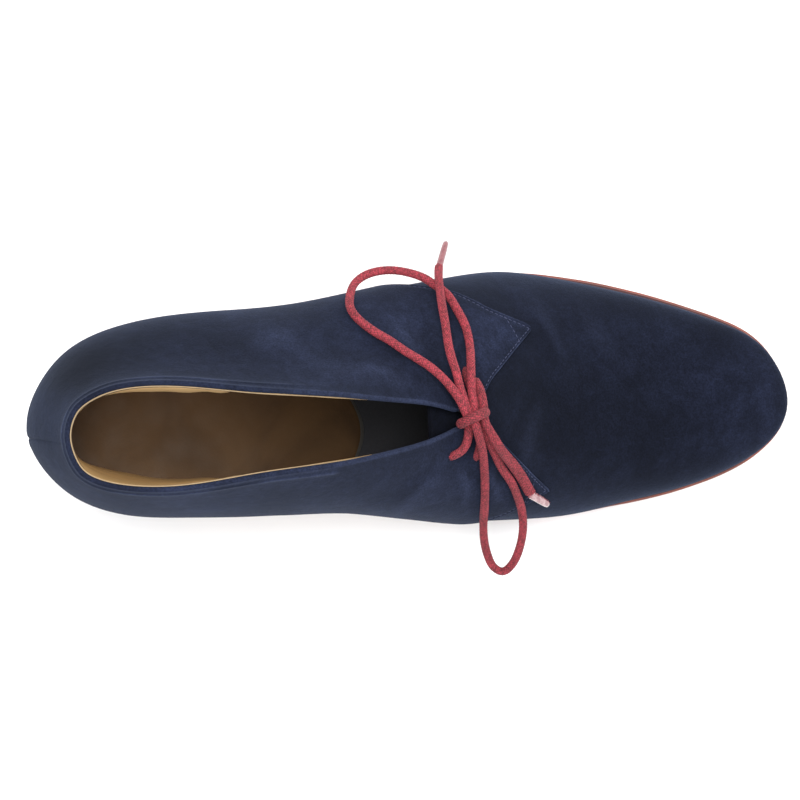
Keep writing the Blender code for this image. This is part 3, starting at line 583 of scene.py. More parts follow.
class Finish:
    """A material in the making: its Principled shader's sockets, its nodes and object coordinates."""

    def __init__(self, name, roughness, colour, **sockets):
        self.made = bpy.data.materials.new(name)
        self.made.use_nodes = True
        self.tree = self.made.node_tree
        self.inputs = self.tree.nodes["Principled BSDF"].inputs
        colour = linear(colour) if isinstance(colour, str) else colour
        self.made.diffuse_color = colour
        for socket, value in dict(sockets, Base_Color=colour, Roughness=roughness).items():
            self.inputs[socket.replace("_", " ")].default_value = value
        self.spot = self.node("TexCoord").outputs["Object"]

    def node(self, kind, inputs=(), **settings):
        """A node of the material, by the end of its type's name."""
        return add(self.tree, "ShaderNode" + kind, inputs, **settings)

    def link(self, socket, name="Base Color"):
        """Links a socket to one of the shader's own."""
        self.tree.links.new(socket, self.inputs[name])

    def mix(self, factor, first, second, blend="MIX"):
        """Socket of two colours mixed; a colour is a hex value, four numbers or a socket."""
        first, second = [linear(c) if isinstance(c, str) else c for c in (first, second)]
        return self.node("Mix", {0: factor, 6: first, 7: second}, data_type="RGBA",
                         blend_type=blend).outputs[2]

    def noise(self, size, detail=2.0, rough=0.5, warp=0.0, spot=None):
        """Socket of noise whose features are that many millimetres across."""
        return self.node("TexNoise", {"Vector": self.spot if spot is None else spot, "Scale": per_mm(size),
                                      "Detail": detail, "Roughness": rough,
                                      "Distortion": warp}).outputs["Fac"]

    def cells(self, size):
        """Socket of the distance from the middles of cells that many millimetres apart."""
        return self.node("TexVoronoi", {"Vector": self.spot, "Scale": per_mm(size)}).outputs["Distance"]

    def bands(self, size, direction, warp):
        """Socket of bands across a direction."""
        return self.node("TexWave", {"Vector": self.spot, "Scale": per_mm(size), "Distortion": warp},
                         bands_direction=direction).outputs["Fac"]

    def mapped(self, scale, turn=(0.0, 0.0, 0.0)):
        """Coordinates stretched and turned."""
        return self.node("Mapping", {"Vector": self.spot, "Rotation": turn, "Scale": scale}).outputs[0]

    def span(self, value, low, high, to_low=0.0, to_high=1.0):
        """Socket of a value spread softly from one range to another."""
        return self.node("MapRange", {0: value, 1: low, 2: high, 3: to_low, 4: to_high},
                         interpolation_type="SMOOTHSTEP").outputs[0]

    def times(self, first, second):
        """Socket of two numbers' product."""
        return self.node("Math", {0: first, 1: second}, operation="MULTIPLY").outputs[0]

    def marked(self, name):
        """Socket of a value that is written at the piece's vertices."""
        return self.node("Attribute", attribute_name=name).outputs["Fac"]

    def dim(self, colour, light):
        """Links a colour to the shader, made darker or lighter by a number's socket."""
        grey = self.node("CombineColor", {0: light, 1: light, 2: light}).outputs[0]
        self.link(self.mix(1.0, colour, grey, "MULTIPLY"))

    def bump(self, height, distance, strength, under=None):
        """Links a relief to the shader, over another where one is given, and returns it."""
        inputs = {"Height": height, "Distance": distance, "Strength": strength}
        if under is not None:
            inputs["Normal"] = under
        made = self.node("Bump", inputs).outputs[0]
        self.link(made, "Normal")
        return made


def grained(name, roughness, colour, dark, pale, grain, depth=0.0, strength=0.4):
    """Material of two shades in one fine grain, which may also stand out of the surface."""
    finish = Finish(name, roughness, colour)
    fibre = finish.noise(*grain)
    finish.link(finish.mix(fibre, dark, pale))
    if depth:
        finish.bump(fibre, depth, strength)
    return finish.made


def suede(name, colour, share, sheen):
    """Calf suede, buffed to a short nap: matt, with a soft glow at grazing angles and brushed patches."""
    dark, body, brushed = [chosen(colour, share * tone) for tone in (0.62, 1.0, 1.7)]
    finish = Finish(name, 0.95, body, Specular_IOR_Level=0.1, Sheen_Weight=sheen, Sheen_Roughness=0.5,
                    Sheen_Tint=linear("#7d90ba"))
    patches = finish.span(finish.noise(24, 3.0, 0.5, 0.6), 0.30, 0.74, 0.15, 0.9)
    clouds = finish.span(finish.noise(5.5, 4.0, 0.6, 0.4), 0.30, 0.74)
    turned = finish.mapped((1.0, 0.28, 1.0), (0.3, 0.2, 0.7))
    strokes = finish.span(finish.noise(3.2, 3.0, 0.5, 0.8, turned), 0.60, 0.80, 0.0, 0.6)
    fibres = finish.noise(0.6, 3.0, 0.75)
    rubbed, nap_and_painted_light = finish.marked("rub"), finish.marked("nap")
    base = finish.mix(patches, dark, body)
    base = finish.mix(finish.times(patches, clouds), base, brushed)
    base = finish.mix(strokes, base, brushed)
    # paler where rubbed: wear together with painted highlight on ridges and edges and painted light on the
    # collar's band
    base = finish.mix(finish.span(rubbed, 0.0, 1.2), base, "#4a5372")
    # darker in the creases' troughs: painted shade
    base = finish.mix(finish.span(rubbed, 0.0, -0.6, 0.0, 0.8), base, dark)
    mottle = finish.span(finish.noise(2.0, 4.0, 0.7, 0.3), 0.34, 0.62, 0.87, 1.09)
    speck = finish.times(finish.span(fibres, 0.3, 0.7, 0.62, 1.38), mottle)
    # brushed nap together with painted light and shade scales the whole colour
    finish.dim(base, finish.times(speck, finish.span(nap_and_painted_light, -1.0, 1.0, 0.1, 1.9)))
    finish.bump(fibres, 0.0002, 0.6, finish.bump(clouds, 0.0002, 0.35))
    return finish.made


def lining_leather(name="tan lining leather", sheen=0.03):
    """Vegetable-tanned pigskin lining, smooth with fine pores, a low satin gloss and painted light near the
    rim.
    """
    finish = Finish(name, 0.6, "#8f7048", Sheen_Weight=sheen, Sheen_Roughness=0.6,
                    Sheen_Tint=linear("#f2cf98"))
    stain = finish.span(finish.noise(22, 3.0, 0.5, 0.5), 0.3, 0.7)
    base = finish.mix(stain, chosen("lining_colour", 0.67), chosen("lining_colour"))
    # paler towards the collar's rim, most on the outer side: painted light
    finish.link(finish.mix(finish.marked("rub"), base, "#f3cd92"))
    finish.bump(finish.span(finish.cells(1.1), 0.0, 0.35), 0.00006, 0.6)
    return finish.made


def lining_edge():
    """Cut edge of the lining: undyed leather in a dull tan."""
    return grained("cut lining edge", 0.7, "#8b7454", "#7b6547", "#9a8464", (1.5, 3.0))


def toe_lining():
    """Black cotton drill lining in the forefoot, dull and evenly woven; its black also stands for deep shade.
    """
    finish = Finish("black drill lining", 0.9, "#141418")
    twill = finish.bands(5.5, "DIAGONAL", 0.4)
    finish.link(finish.mix(twill, "#101013", "#1d1d22"))
    finish.bump(twill, 0.00008, 0.5)
    return finish.made


def sock_leather():
    """Brown sheepskin sock, dyed and lightly glazed: soft grain with a satin gloss."""
    finish = Finish("brown sock leather", 0.6, "#4a3822", Specular_IOR_Level=0.2)
    finish.link(finish.mix(finish.span(finish.noise(30, 3.0, 0.5, 0.6), 0.3, 0.7), "#3d2b19", "#503a22"))
    finish.link(finish.span(finish.noise(9), 0.2, 0.8, 0.54, 0.7), "Roughness")
    finish.bump(finish.cells(0.9), 0.00007, 0.5)
    return finish.made


def sock_rim():
    """Skived front edge of the sock, in a paler grey than the sock."""
    return Finish("skived sock edge", 0.7, "#43403c").made


def insole_board():
    """Black fibre insole board, matt and faintly fibrous; its black also stands for the shade past the sock.
    """
    return grained("black insole board", 0.8, "#1a1a1e", "#17171a", "#2d2d32", (0.8, 4.0, 0.7), 0.0001)


def edge_paint():
    """Coral edge paint on the sole leather: burnished, even, with a low gloss and small rubs."""
    finish = Finish("coral edge paint", 0.45, "#8a3426", Coat_Weight=0.15, Coat_Roughness=0.3)
    shade = finish.span(finish.noise(14), 0.3, 0.7)
    base = finish.mix(shade, chosen("edge_colour", 0.7), chosen("edge_colour"))
    rubs = finish.times(finish.span(finish.noise(3.0, 4.0, 0.65), 0.62, 0.78), 0.35)
    finish.link(finish.mix(rubs, base, chosen("edge_colour", 0.46)))
    finish.bump(finish.bands(4.0, "Z", 1.5), 0.00004, 0.4)
    return finish.made


def feather_line():
    """Top of the sole beside the upper, dark red-brown: painted shade in the gap under the upper's edge."""
    return grained("dark feather line", 0.7, "#3d1a1a", "#2c1418", "#55221e", (2.5, 3.0, 0.6))


def sole_leather():
    """Oak-bark sole bend, pale tan and hard rolled, scuffed where it has stood on the ground."""
    finish = Finish("oak bark sole leather", 0.5, "#b98a5a")
    grain = finish.noise(1.2, 4.0, 0.6)
    stain = finish.span(finish.noise(34, 4.0, 0.6, 0.7), 0.3, 0.7)
    base = finish.mix(stain, "#a5774a", "#c89a68")
    finish.link(finish.mix(finish.times(grain, 0.35), base, "#7d5735"))
    finish.link(finish.span(grain, 0.2, 0.8, 0.42, 0.62), "Roughness")
    finish.bump(grain, 0.00008, 0.5)
    return finish.made


def stack_leather():
    """Stacked heel lifts of leather, sanded flush and dyed dark brown: fine bands that differ a little."""
    finish = Finish("stacked heel leather", 0.42, "#4a2d1c", Coat_Weight=0.12, Coat_Roughness=0.3)
    level = finish.node("SeparateXYZ", {"Vector": finish.spot}).outputs["Z"]
    layer = finish.node("Math", {0: finish.times(level, per_mm(3.55))}, operation="FLOOR").outputs[0]
    lift = finish.node("TexWhiteNoise", {"W": layer}, noise_dimensions="1D").outputs["Value"]
    fibre = finish.noise(0.45, 3.0, 0.7, spot=finish.mapped((0.2, 0.2, 1.0)))
    cloud = finish.span(finish.noise(7, 3.0, 0.6), 0.35, 0.7, 0.0, 0.45)
    base = finish.mix(lift, chosen("heel_colour", 0.52), chosen("heel_colour"))
    base = finish.mix(cloud, base, chosen("heel_colour", 0.32))
    finish.link(finish.mix(finish.span(fibre, 0.3, 0.75, 0.0, 0.55), base, chosen("heel_colour", 1.9)))
    finish.bump(fibre, 0.00008, 0.5)
    return finish.made


def lift_rubber():
    """Hard black top-piece rubber, matt, with fine moulding marks."""
    return grained("black top piece rubber", 0.62, "#161616", "#101010", "#232323", (0.7, 3.0, 0.6), 0.00006)


def lace_cotton(name, share):
    """Braided cotton lace, waxed a little: matt threads, paler on their crowns, painted shade between them.
    """
    valley, body, pale = [chosen("lace_colour", share * tone) for tone in (0.28, 1.0, 1.35)]
    finish = Finish(name, 0.85, body, Sheen_Weight=0.05, Sheen_Roughness=0.5, Sheen_Tint=linear("#e8a8ac"))
    fuzz = finish.noise(0.7, 2.0, 0.6)
    # the valleys between the strands are painted dark: painted shade
    base = finish.mix(finish.span(finish.marked("crown"), 0.15, 0.95), valley, body)
    base = finish.mix(finish.times(finish.span(finish.noise(5), 0.3, 0.7), 0.25), base, pale)
    finish.dim(base, finish.span(fuzz, 0.36, 0.64, 0.55, 1.4))
    finish.bump(fuzz, 0.00012, 0.6)
    return finish.made


def aglet_film(name, pale, gloss):
    """Clear acetate film rolled tight over the lace's end: glossy, with the red cotton showing through."""
    finish = Finish(name, 0.16, "#8d5458", Coat_Weight=gloss, Coat_Roughness=0.06,
                    Specular_IOR_Level=0.7 * gloss)
    wrap = finish.noise(2.4, 2.0, 0.5, 0.5)
    finish.link(finish.mix(finish.span(wrap, 0.35, 0.65), "#74363d", pale))
    finish.bump(wrap, 0.0001, 0.4)
    return finish.made


def thread():
    """Twisted polyester thread, dyed to tone with the suede, with a slight lustre."""
    finish = Finish("navy sewing thread", 0.75, "#353a52", Specular_IOR_Level=0.2, Sheen_Weight=0.05)
    finish.bump(finish.bands(1.3, "DIAGONAL", 0.5), 0.00005, 0.5)
    return finish.made


def floor_paper():
    """Pale seamless background paper, dead matt."""
    finish = Finish("pale background paper", 0.95, "#fcfcfb", Specular_IOR_Level=0.1)
    finish.bump(finish.noise(1.5, 3.0), 0.00003, 0.3)
    return finish.made


MATERIALS = {}


def kept(maker, *facts):
    """A material that several pieces share."""
    key = (maker.__name__, *facts)
    if key not in MATERIALS:
        MATERIALS[key] = maker(*facts)
    return MATERIALS[key]


# ---------------------------------------------------------------- upper, lining and quarters

# Rows beside the middle of the back, millimetres: close together at the back seam, 3 mm to the inner side
BACK_SEAM = 3.0
BACK_SEAM_STOPS = (0.0, 0.7, 1.3, 1.8, 2.2, 2.5, 2.75, 3.0, 3.25, 3.5, 3.8, 4.2, 4.7, 5.4, 6.2)


def loop_knots(spacing):
    """Knots all round the boot at an even spacing, closer at the back seam, the same on both sides."""
    *close, first = [stop * MM for stop in BACK_SEAM_STOPS]
    count = round((PERIOD / 2 - first) / spacing)
    half = close + [first + (PERIOD / 2 - first) * step / count for step in range(count + 1)]
    return np.array(half + [PERIOD - knot for knot in half[-2:0:-1]])


LEVELS = np.concatenate((np.linspace(0, WIDEST, 14)[:-1], np.linspace(WIDEST, 1, 46)))


def upper_grid():
    """Outer face of the whole upper as a grid, from the sole line to the crest, and which rows end open."""
    knots = loop_knots(2.0 * MM)
    grid = np.array([place(rib_at_levels(rib_curves(knot), LEVELS)) for knot in knots])
    other = -np.arange(len(knots))
    shut = np.linalg.norm(grid[:, -1] - grid[other, -1], axis=1) < MM / 1000
    shut[0] = False
    grid[shut, -1] = (grid[shut, -1] + grid[other[shut], -1]) / 2
    return grid, ~shut


def eased(grid):
    """The grid with the fan of ribs at the toe's crest smoothed into one skin, and its normals.

    The widest line and all below it stay where they are, so that the toe keeps its outline."""
    rows, columns = grid.shape[:2]
    _, first, same = np.unique(grid.reshape(-1, 3), axis=0, return_index=True, return_inverse=True)
    same = same.reshape(-1)
    points = grid.reshape(-1, 3)[first].copy()
    faces = same[grid_faces(rows, columns, closed_rows=True)]
    along, side = plan_of(points)
    toe = np.clip(1.3 - np.hypot((along - TOE_MIDDLE) / TOE_LONG, side / TOE_WIDE), 0, 1)
    toe *= soft_step((LEVELS[first % columns] - WIDEST - 0.02) / 0.30)
    edges = np.concatenate([faces[:, (i, (i + 1) % 4)] for i in range(4)])
    edges = edges[edges[:, 0] != edges[:, 1]]
    for _ in range(TOE_PASSES):
        total = np.zeros_like(points)
        count = np.zeros(len(points))
        for here, there in ((0, 1), (1, 0)):
            np.add.at(total, edges[:, here], points[edges[:, there]])
            np.add.at(count, edges[:, here], 1)
        middle = total / np.maximum(count, 1)[:, None]
        points += (middle - points) * (0.5 * toe)[:, None]
    cross = np.cross(points[faces[:, 2]] - points[faces[:, 0]], points[faces[:, 3]] - points[faces[:, 1]])
    total = np.zeros_like(points)
    for corner in range(4):
        np.add.at(total, faces[:, corner], cross)
    points, normal = [part[same].reshape(grid.shape) for part in (points, unit(total))]
    return points, facing_out(points, normal)


def shell(name, outer, inner, materials, slots=(0, 0, 0), sharp=None, closed_rows=False, open_rows=None):
    """Closed wall between two grids of points; slots give the outer, inner and rim materials."""
    rows, columns = outer.shape[:2]
    count = rows * columns
    index = np.arange(count).reshape(rows, columns)
    sheet = grid_faces(rows, columns, closed_rows)
    faces = [sheet, sheet[:, ::-1] + count]
    low = np.arange(rows if closed_rows else rows - 1)
    high = low if open_rows is None else low[open_rows[low] | open_rows[(low + 1) % rows]]
    rims = [(index[low, 0], index[(low + 1) % rows, 0], 1),
            (index[high, -1], index[(high + 1) % rows, -1], -1)]
    if not closed_rows:
        rims += [(index[0, :-1], index[0, 1:], -1), (index[-1, :-1], index[-1, 1:], 1)]
    for here, there, way in rims:
        faces.append(np.stack((here, there, there + count, here + count), axis=-1)[:, ::way])
    kinds = np.repeat((*slots[:2], *slots[2:] * len(rims)), [len(part) for part in faces])
    return make_mesh(name, np.concatenate((outer, inner)).reshape(-1, 3), np.concatenate(faces), materials,
                     kinds.tolist(), sharp)


def hole_cutter():
    """One mesh of four pins for the lace holes.

    They lie nearly along the wall and cut slots, as the vector of turn is too short for to_track_quat.
    """
    shape = bmesh.new()
    radius = bpy.context.scene.boot.hole_diameter * MM / 2
    for along, side in LACE_HOLES:
        centre, ahead, across = [Vector(place(wall_point(a * MM, s * MM))) for a, s in
                                 ((along, side), (along + 1, side), (along, side + 1))]
        turn = (across - centre).cross(ahead - centre).to_track_quat("Z", "Y").to_matrix().to_4x4()
        bmesh.ops.create_cone(shape, cap_ends=True, segments=28, radius1=radius, radius2=radius,
                              depth=12 * MM, matrix=Matrix.Translation(centre) @ turn)
    mesh = bpy.data.meshes.new("lace_hole_pins")
    shape.to_mesh(mesh)
    shape.free()
    return show("lace_hole_pins", mesh)


def mark(thing, points, **values):
    """Writes named values at each vertex, taken from the nearest of the points."""
    points = points.reshape(-1, 3)
    tree = KDTree(len(points))
    for index, point in enumerate(points):
        tree.insert(point, index)
    tree.balance()
    near = [tree.find(vertex.co)[1] for vertex in thing.data.vertices]
    for name, value in values.items():
        made = thing.data.attributes.new(name, "FLOAT", "POINT")
        made.data.foreach_set("value", value.reshape(-1)[near])


def plain_mesh(thing):
    """A mesh of its own of what a piece's modifiers make."""
    return bpy.data.meshes.new_from_object(thing.evaluated_get(bpy.context.evaluated_depsgraph_get()))


def punch(*things):
    """Cuts the lace holes in pieces, for good."""
    cutter = hole_cutter()
    for thing in things:
        boolean = thing.modifiers.new("lace holes", "BOOLEAN")
        boolean.object = cutter
        boolean.operation = "DIFFERENCE"
        boolean.solver = "MANIFOLD"
        cut = plain_mesh(thing)
        thing.modifiers.clear()
        thing.data = cut
    bpy.data.objects.remove(cutter)


LOW_STOPS = tuple(MM * v for v in (0, 0.3, 0.6, 0.9, 1.2, 1.6, 2.2, 3.0, 4.2))
HIGH_STOPS = tuple(MM * v for v in (0, 0.3, 0.7, 1.2, 1.8, 2.3, 2.6, 2.9, 3.2, 3.5, 4.0, 5.0, 6.5))


def quarter_rows():
    """Rows of the quarters as (knot, seam level, edge level, share of the length)."""
    inner, outer = [], []
    for side, flap, rows in ((-1, INNER_FLAP, inner), (1, OUTER_FLAP, outer)):
        span = flap[-1, 0] - flap[0, 0]
        count = round(span * LENGTH / (0.9 * MM))
        for step in range(count + 1):
            station = flap[-1, 0] - span * (step / count) ** 1.15
            rows.append((knot_at(station * LENGTH, side), smooth(flap[:, (0, 1)], station),
                         min(1.0, smooth(flap[:, (0, 2)], station)), station))
    inner_first = knot_at(INNER_FLAP[0, 0] * LENGTH, -1)
    outer_last = knot_at(OUTER_FLAP[0, 0] * LENGTH, 1)
    heel = [(knot, INNER_FLAP[0, 1], 1.0, 0.0) for knot in loop_knots(1.6 * MM)
            if knot > inner_first + MM or knot < outer_last - MM]
    heel.sort(key=lambda row: (row[0] + PERIOD / 2) % PERIOD)
    return inner + heel + outer[::-1]


COLLAR_OUT = 1.7 * MM       # outer face of the quarters above the upper's wall
QUARTER_IN = 0.12 * MM      # their inner face
COLLAR_IN = -0.1 * MM       # how far the suede turns over the collar's edge
COLLAR_RIDGE_END = 0.44     # share of the length at which the ridge under the collar's edge fades out
FRONT_TABS = 0.548          # share at which the collar ends and the front tabs begin
FRONT_EDGE = 0.574          # share from which their edge is sewn
STITCH_INSET = 1.2 * MM


def quarter_stops(total):
    """Distances up a rib, close together near both ends and even between."""
    shrink = min(1.0, total / (LOW_STOPS[-1] + HIGH_STOPS[-1] + 4.0 * MM))
    low = np.array(LOW_STOPS) * shrink
    high = total - np.array(HIGH_STOPS)[::-1] * shrink
    return np.concatenate((low, np.linspace(low[-1], high[0], 36)[1:-1], high))


def quarter_grid():
    """Rows, points on the upper's wall, and their distances from the seam and the edge."""
    rows = quarter_rows()
    points, from_seam, from_edge = [], [], []
    for knot, seam, edge, _ in rows:
        curves = rib_curves(knot)
        levels = seam + (edge - seam) * np.linspace(0, 1, 200)
        run = runs(rib_at_levels(curves, levels))
        stops = quarter_stops(run[-1])
        points.append(place(rib_at_levels(curves, np.interp(stops, run, levels))))
        from_seam.append(stops)
        from_edge.append(run[-1] - stops)
    return rows, np.array(points), np.array(from_seam), np.array(from_edge)


def ends_like_neighbours(rows):
    """Rows of vectors whose first and last follow the ones beside them."""
    rows[0], rows[-1] = rows[1], rows[-2]
    return rows


def rolled_edge(edge, normal, high, low, away, reach, angles):
    """Rows of points that roll over an edge, from a height above it to another."""
    return np.stack([edge + normal * ((high + low) / 2 + (high - low) / 2 * math.cos(angle))[:, None]
                     + away * reach * math.sin(angle) for angle in angles], axis=1)


def quarter_heights(from_seam, from_edge, knots, station, creases):
    """How far the quarters' face stands out at each point, and its wear with painted light and shade."""
    settings = bpy.context.scene.boot
    at_front = soft_step((station - FRONT_TABS) / 0.020)[:, None]
    heel = soft_step((COLLAR_RIDGE_END - station) / 0.20)[:, None]
    # a ridge runs under the collar's edge at the heel, and the band above it lies a little lower
    ridge = hump(from_edge - 3.4 * MM, 1.0 * MM) * heel
    band = np.clip((3.2 * MM - from_edge) / (2.2 * MM), 0, 1) * heel
    height = creases + settings.collar_ridge * MM * ridge - 0.1 * MM * band
    # the thread draws the suede in along the seams
    sewn = hump(from_seam - STITCH_INSET, 0.5 * MM) + hump(from_edge - STITCH_INSET, 0.5 * MM) * at_front
    height -= 0.16 * MM * sewn
    # the back seam is a groove between two low swells
    back = np.abs((knots + PERIOD / 2 + BACK_SEAM * MM) % PERIOD - PERIOD / 2)[:, None]
    fading = 0.25 + 0.75 * np.clip((from_edge - 6 * MM) / (14 * MM), 0, 1)
    height -= fading * (0.36 * MM * hump(back, 0.45 * MM) - 0.10 * MM * hump(back - 2.2 * MM, MM))
    uneven = 0.5 + 0.3 * np.sin(knots / (9 * MM) + 0.8) + 0.2 * np.sin(knots / (3.7 * MM))
    # painted highlight on the collar's ridge, painted light on the band above it, which lies in shade, and
    # the creases' wear and painted shade
    rubbed = 0.5 * ridge * uneven[:, None] + 0.2 * band + crease_rub_and_shade(creases)
    # paler along the seam and the front tabs' edges: rubbed wear together with painted highlight on the edges
    rubbed += 0.3 * hump(from_seam, 0.5 * MM) + 0.3 * hump(from_edge, 0.5 * MM) * (1 - heel)
    return height, rubbed, at_front


# Lines of the quarters, which the stitches follow
LINES = {}


def make_quarters_mesh():
    """The quarters' mesh: face, rolled edges and back as one ring of points a row; and its lines."""
    rows, base, from_seam, from_edge = quarter_grid()
    knots, station = np.array([(row[0], row[3]) for row in rows]).T
    normal = facing_out(base, ends_like_neighbours(normals(base)))
    height, rubbed, at_front = quarter_heights(from_seam, from_edge, knots, station, relief(base))
    outer = base + normal * (COLLAR_OUT + height)[..., None]
    up = ends_like_neighbours(unit(base[:, -1] - base[:, -2]))
    down = ends_like_neighbours(unit(base[:, 0] - base[:, 1]))
    turn_in = COLLAR_IN + (QUARTER_IN - COLLAR_IN) * at_front[:, 0]
    angles = np.radians(np.linspace(0, 180, 10))[1:]
    top_roll = rolled_edge(base[:, -1], normal[:, -1], COLLAR_OUT + height[:, -1], turn_in, up,
                           (0.75 - 0.35 * at_front) * MM, angles)
    low_roll = rolled_edge(base[:, 0], normal[:, 0], COLLAR_OUT + height[:, 0], QUARTER_IN, down, 0.4 * MM,
                           angles[::-1])
    inside = base + normal * QUARTER_IN
    ring = np.concatenate((low_roll, outer, top_roll, inside[:, ::-1]), axis=1)
    faces = grid_faces(*ring.shape[:2], closed_columns=True)
    quarters = make_mesh("quarters_suede", ring.reshape(-1, 3), faces,
                         [kept(suede, "navy quarter suede", "quarters_colour", 1.0, 0.12)], merge=2e-6)
    return quarters, {"outer": outer, "normal": normal, "seam": from_seam, "edge": from_edge,
                      "station": station, "rub": rubbed}


def heel_lining(inside):
    """The lining's inner face, drawn in round the heel so that it stands on the sock."""
    foot_line = (LINING_FOOT - FOOT_CENTRE) * (-1, 1)
    around = np.arctan2(foot_line[:, 1], foot_line[:, 0])
    reach_at = np.column_stack((around, np.hypot(foot_line[:, 1], foot_line[:, 0])))
    last = inside.shape[1] - 1
    result = inside.copy()
    for row, line in enumerate(inside):
        rim = np.array(plan_of(line[-1]))
        share = soft_step((DRAWN_IN_END - rim[0]) / DRAWN_IN_FADE)
        if share <= 0:
            continue
        angle = math.atan2(rim[1] / MM - FOOT_CENTRE[1], FOOT_CENTRE[0] - rim[0] / MM)
        direction = np.array((-math.cos(angle), math.sin(angle)))
        foot = FOOT_CENTRE * MM + smooth(reach_at, angle) * MM * direction
        low = bed_height(foot[0]) + SOCK_TOP
        ring = place((foot[0], foot[1], low))
        wall = np.append(points_at(low, line[:20, 2], line[:20, :2]), low)
        power = 0.60 - 0.16 * np.clip(rim[1] / (10 * MM), -1, 1)
        drawn = np.empty_like(line)
        for column in range(last + 1):
            if column < 4:
                drawn[column] = wall + (ring - wall) * column / 4
            else:
                t = (last - column) / (last - 4)
                drawn[column, :2] = line[-1, :2] + (ring[:2] - line[-1, :2]) * t ** power
                drawn[column, 2] = line[-1, 2] + (low - line[-1, 2]) * t
        result[row] = line + (drawn - line) * share
    return result


def make_lining(points, normal, open_rows, step):
    """The lining: its cut edge stands beside the collar's turned edge, and sinks towards the throat."""
    lift = np.zeros_like(points)
    sunk = np.clip((plan_of(points[:, -1])[0] - SINK_START) / SINK_FADE, 0, 1)
    rise = (0.4 - 1.1 * sunk) * MM / np.maximum(np.linalg.norm(step, axis=1), 1e-9)
    lift[open_rows, -1] = (step * rise[:, None])[open_rows]
    thick = np.ones(points.shape[:2])
    thick[open_rows, -1] = 0
    outside = points - normal * (0.12 * MM + (VAMP_WALL - 0.1 * MM) * thick)[..., None] + lift
    inside = points - normal * (0.46 * MM + (WALL - 0.56 * MM) * thick)[..., None] + lift
    inside = heel_lining(inside)
    lining = shell("lining", outside, inside,
                   [kept(lining_leather), kept(toe_lining), kept(lining_edge),
                    kept(lining_leather, "tan lining leather, brushed", 0.8)],
                   slots=(2, 0, 2), closed_rows=True, open_rows=open_rows)
    for face in lining.data.polygons:
        along, side = plan_of(face.center)
        if along > DRILL_START and face.center[2] < crest_height(along) - 1.6 * MM or along > DRILL_TOP:
            face.material_index = 1
        # the outer side's lining takes a copy with strong sheen: painted light on the wall that faces away
        # from the key light
        elif face.material_index == 0 and side > 0:
            face.material_index = 3
    # painted light: paler towards the rim, fully on the outer side and a fifth as much on the inner
    below = (inside[:, -1:, 2] - inside[..., 2]) / MM
    painted_light_near_rim = np.exp(-np.maximum(below, 0) / 14.0) * np.where(plan_of(inside)[1] > 0, 1.0, 0.2)
    mark(lining, inside, rub=painted_light_near_rim)
    return lining


class BOOT_OT_upper(Operator):
    """Makes the vamp of suede and the lining inside it, open at the collar and underneath"""
    bl_idname = "boot.upper"
    bl_label = "Upper"

    def execute(self, context):
        grid, open_rows = upper_grid()
        points, normal = eased(grid)
        creases = relief(points)
        body = points + creases[..., None] * normal
        step = points[:, -1] - points[:, -2]
        body[open_rows, -1] -= 0.85 * step[open_rows]
        vamp = shell("vamp_suede", body, body - normal * VAMP_WALL,
                     [kept(suede, "navy vamp suede", "vamp_colour", 1.0, 0.18)],
                     closed_rows=True, open_rows=open_rows)
        lining = make_lining(points, normal, open_rows, step)
        punch(vamp, lining)
        # the vamp's marks: rubbed crease ridges with painted shade in their troughs, brushed nap with painted
        # light and shade
        mark(vamp, points, rub=crease_rub_and_shade(creases), nap=nap(points))
        for piece in (vamp, lining):
            shade(piece, 50)
        settle(vamp, "navy_suede", "upper")
        settle(lining, "navy_suede")
        return {"FINISHED"}


class BOOT_OT_quarters(Operator):
    """Makes the quarters of suede with their rolled collar, front tabs and back seam"""
    bl_idname = "boot.quarters"
    bl_label = "Quarters"

    def execute(self, context):
        quarters, lines = make_quarters_mesh()
        # No lace holes are cut here: the cut needs a closed mesh, and this one is open at its two front ends
        LINES.update(lines)
        # the quarters' marks: rubbed wear with painted highlight and shade, brushed nap with painted light
        # and shade
        mark(quarters, lines["outer"], rub=lines["rub"], nap=nap(lines["outer"]))
        shade(quarters, 55)
        settle(quarters, "navy_suede", "quarters")
        return {"FINISHED"}


# ---------------------------------------------------------------- stitches


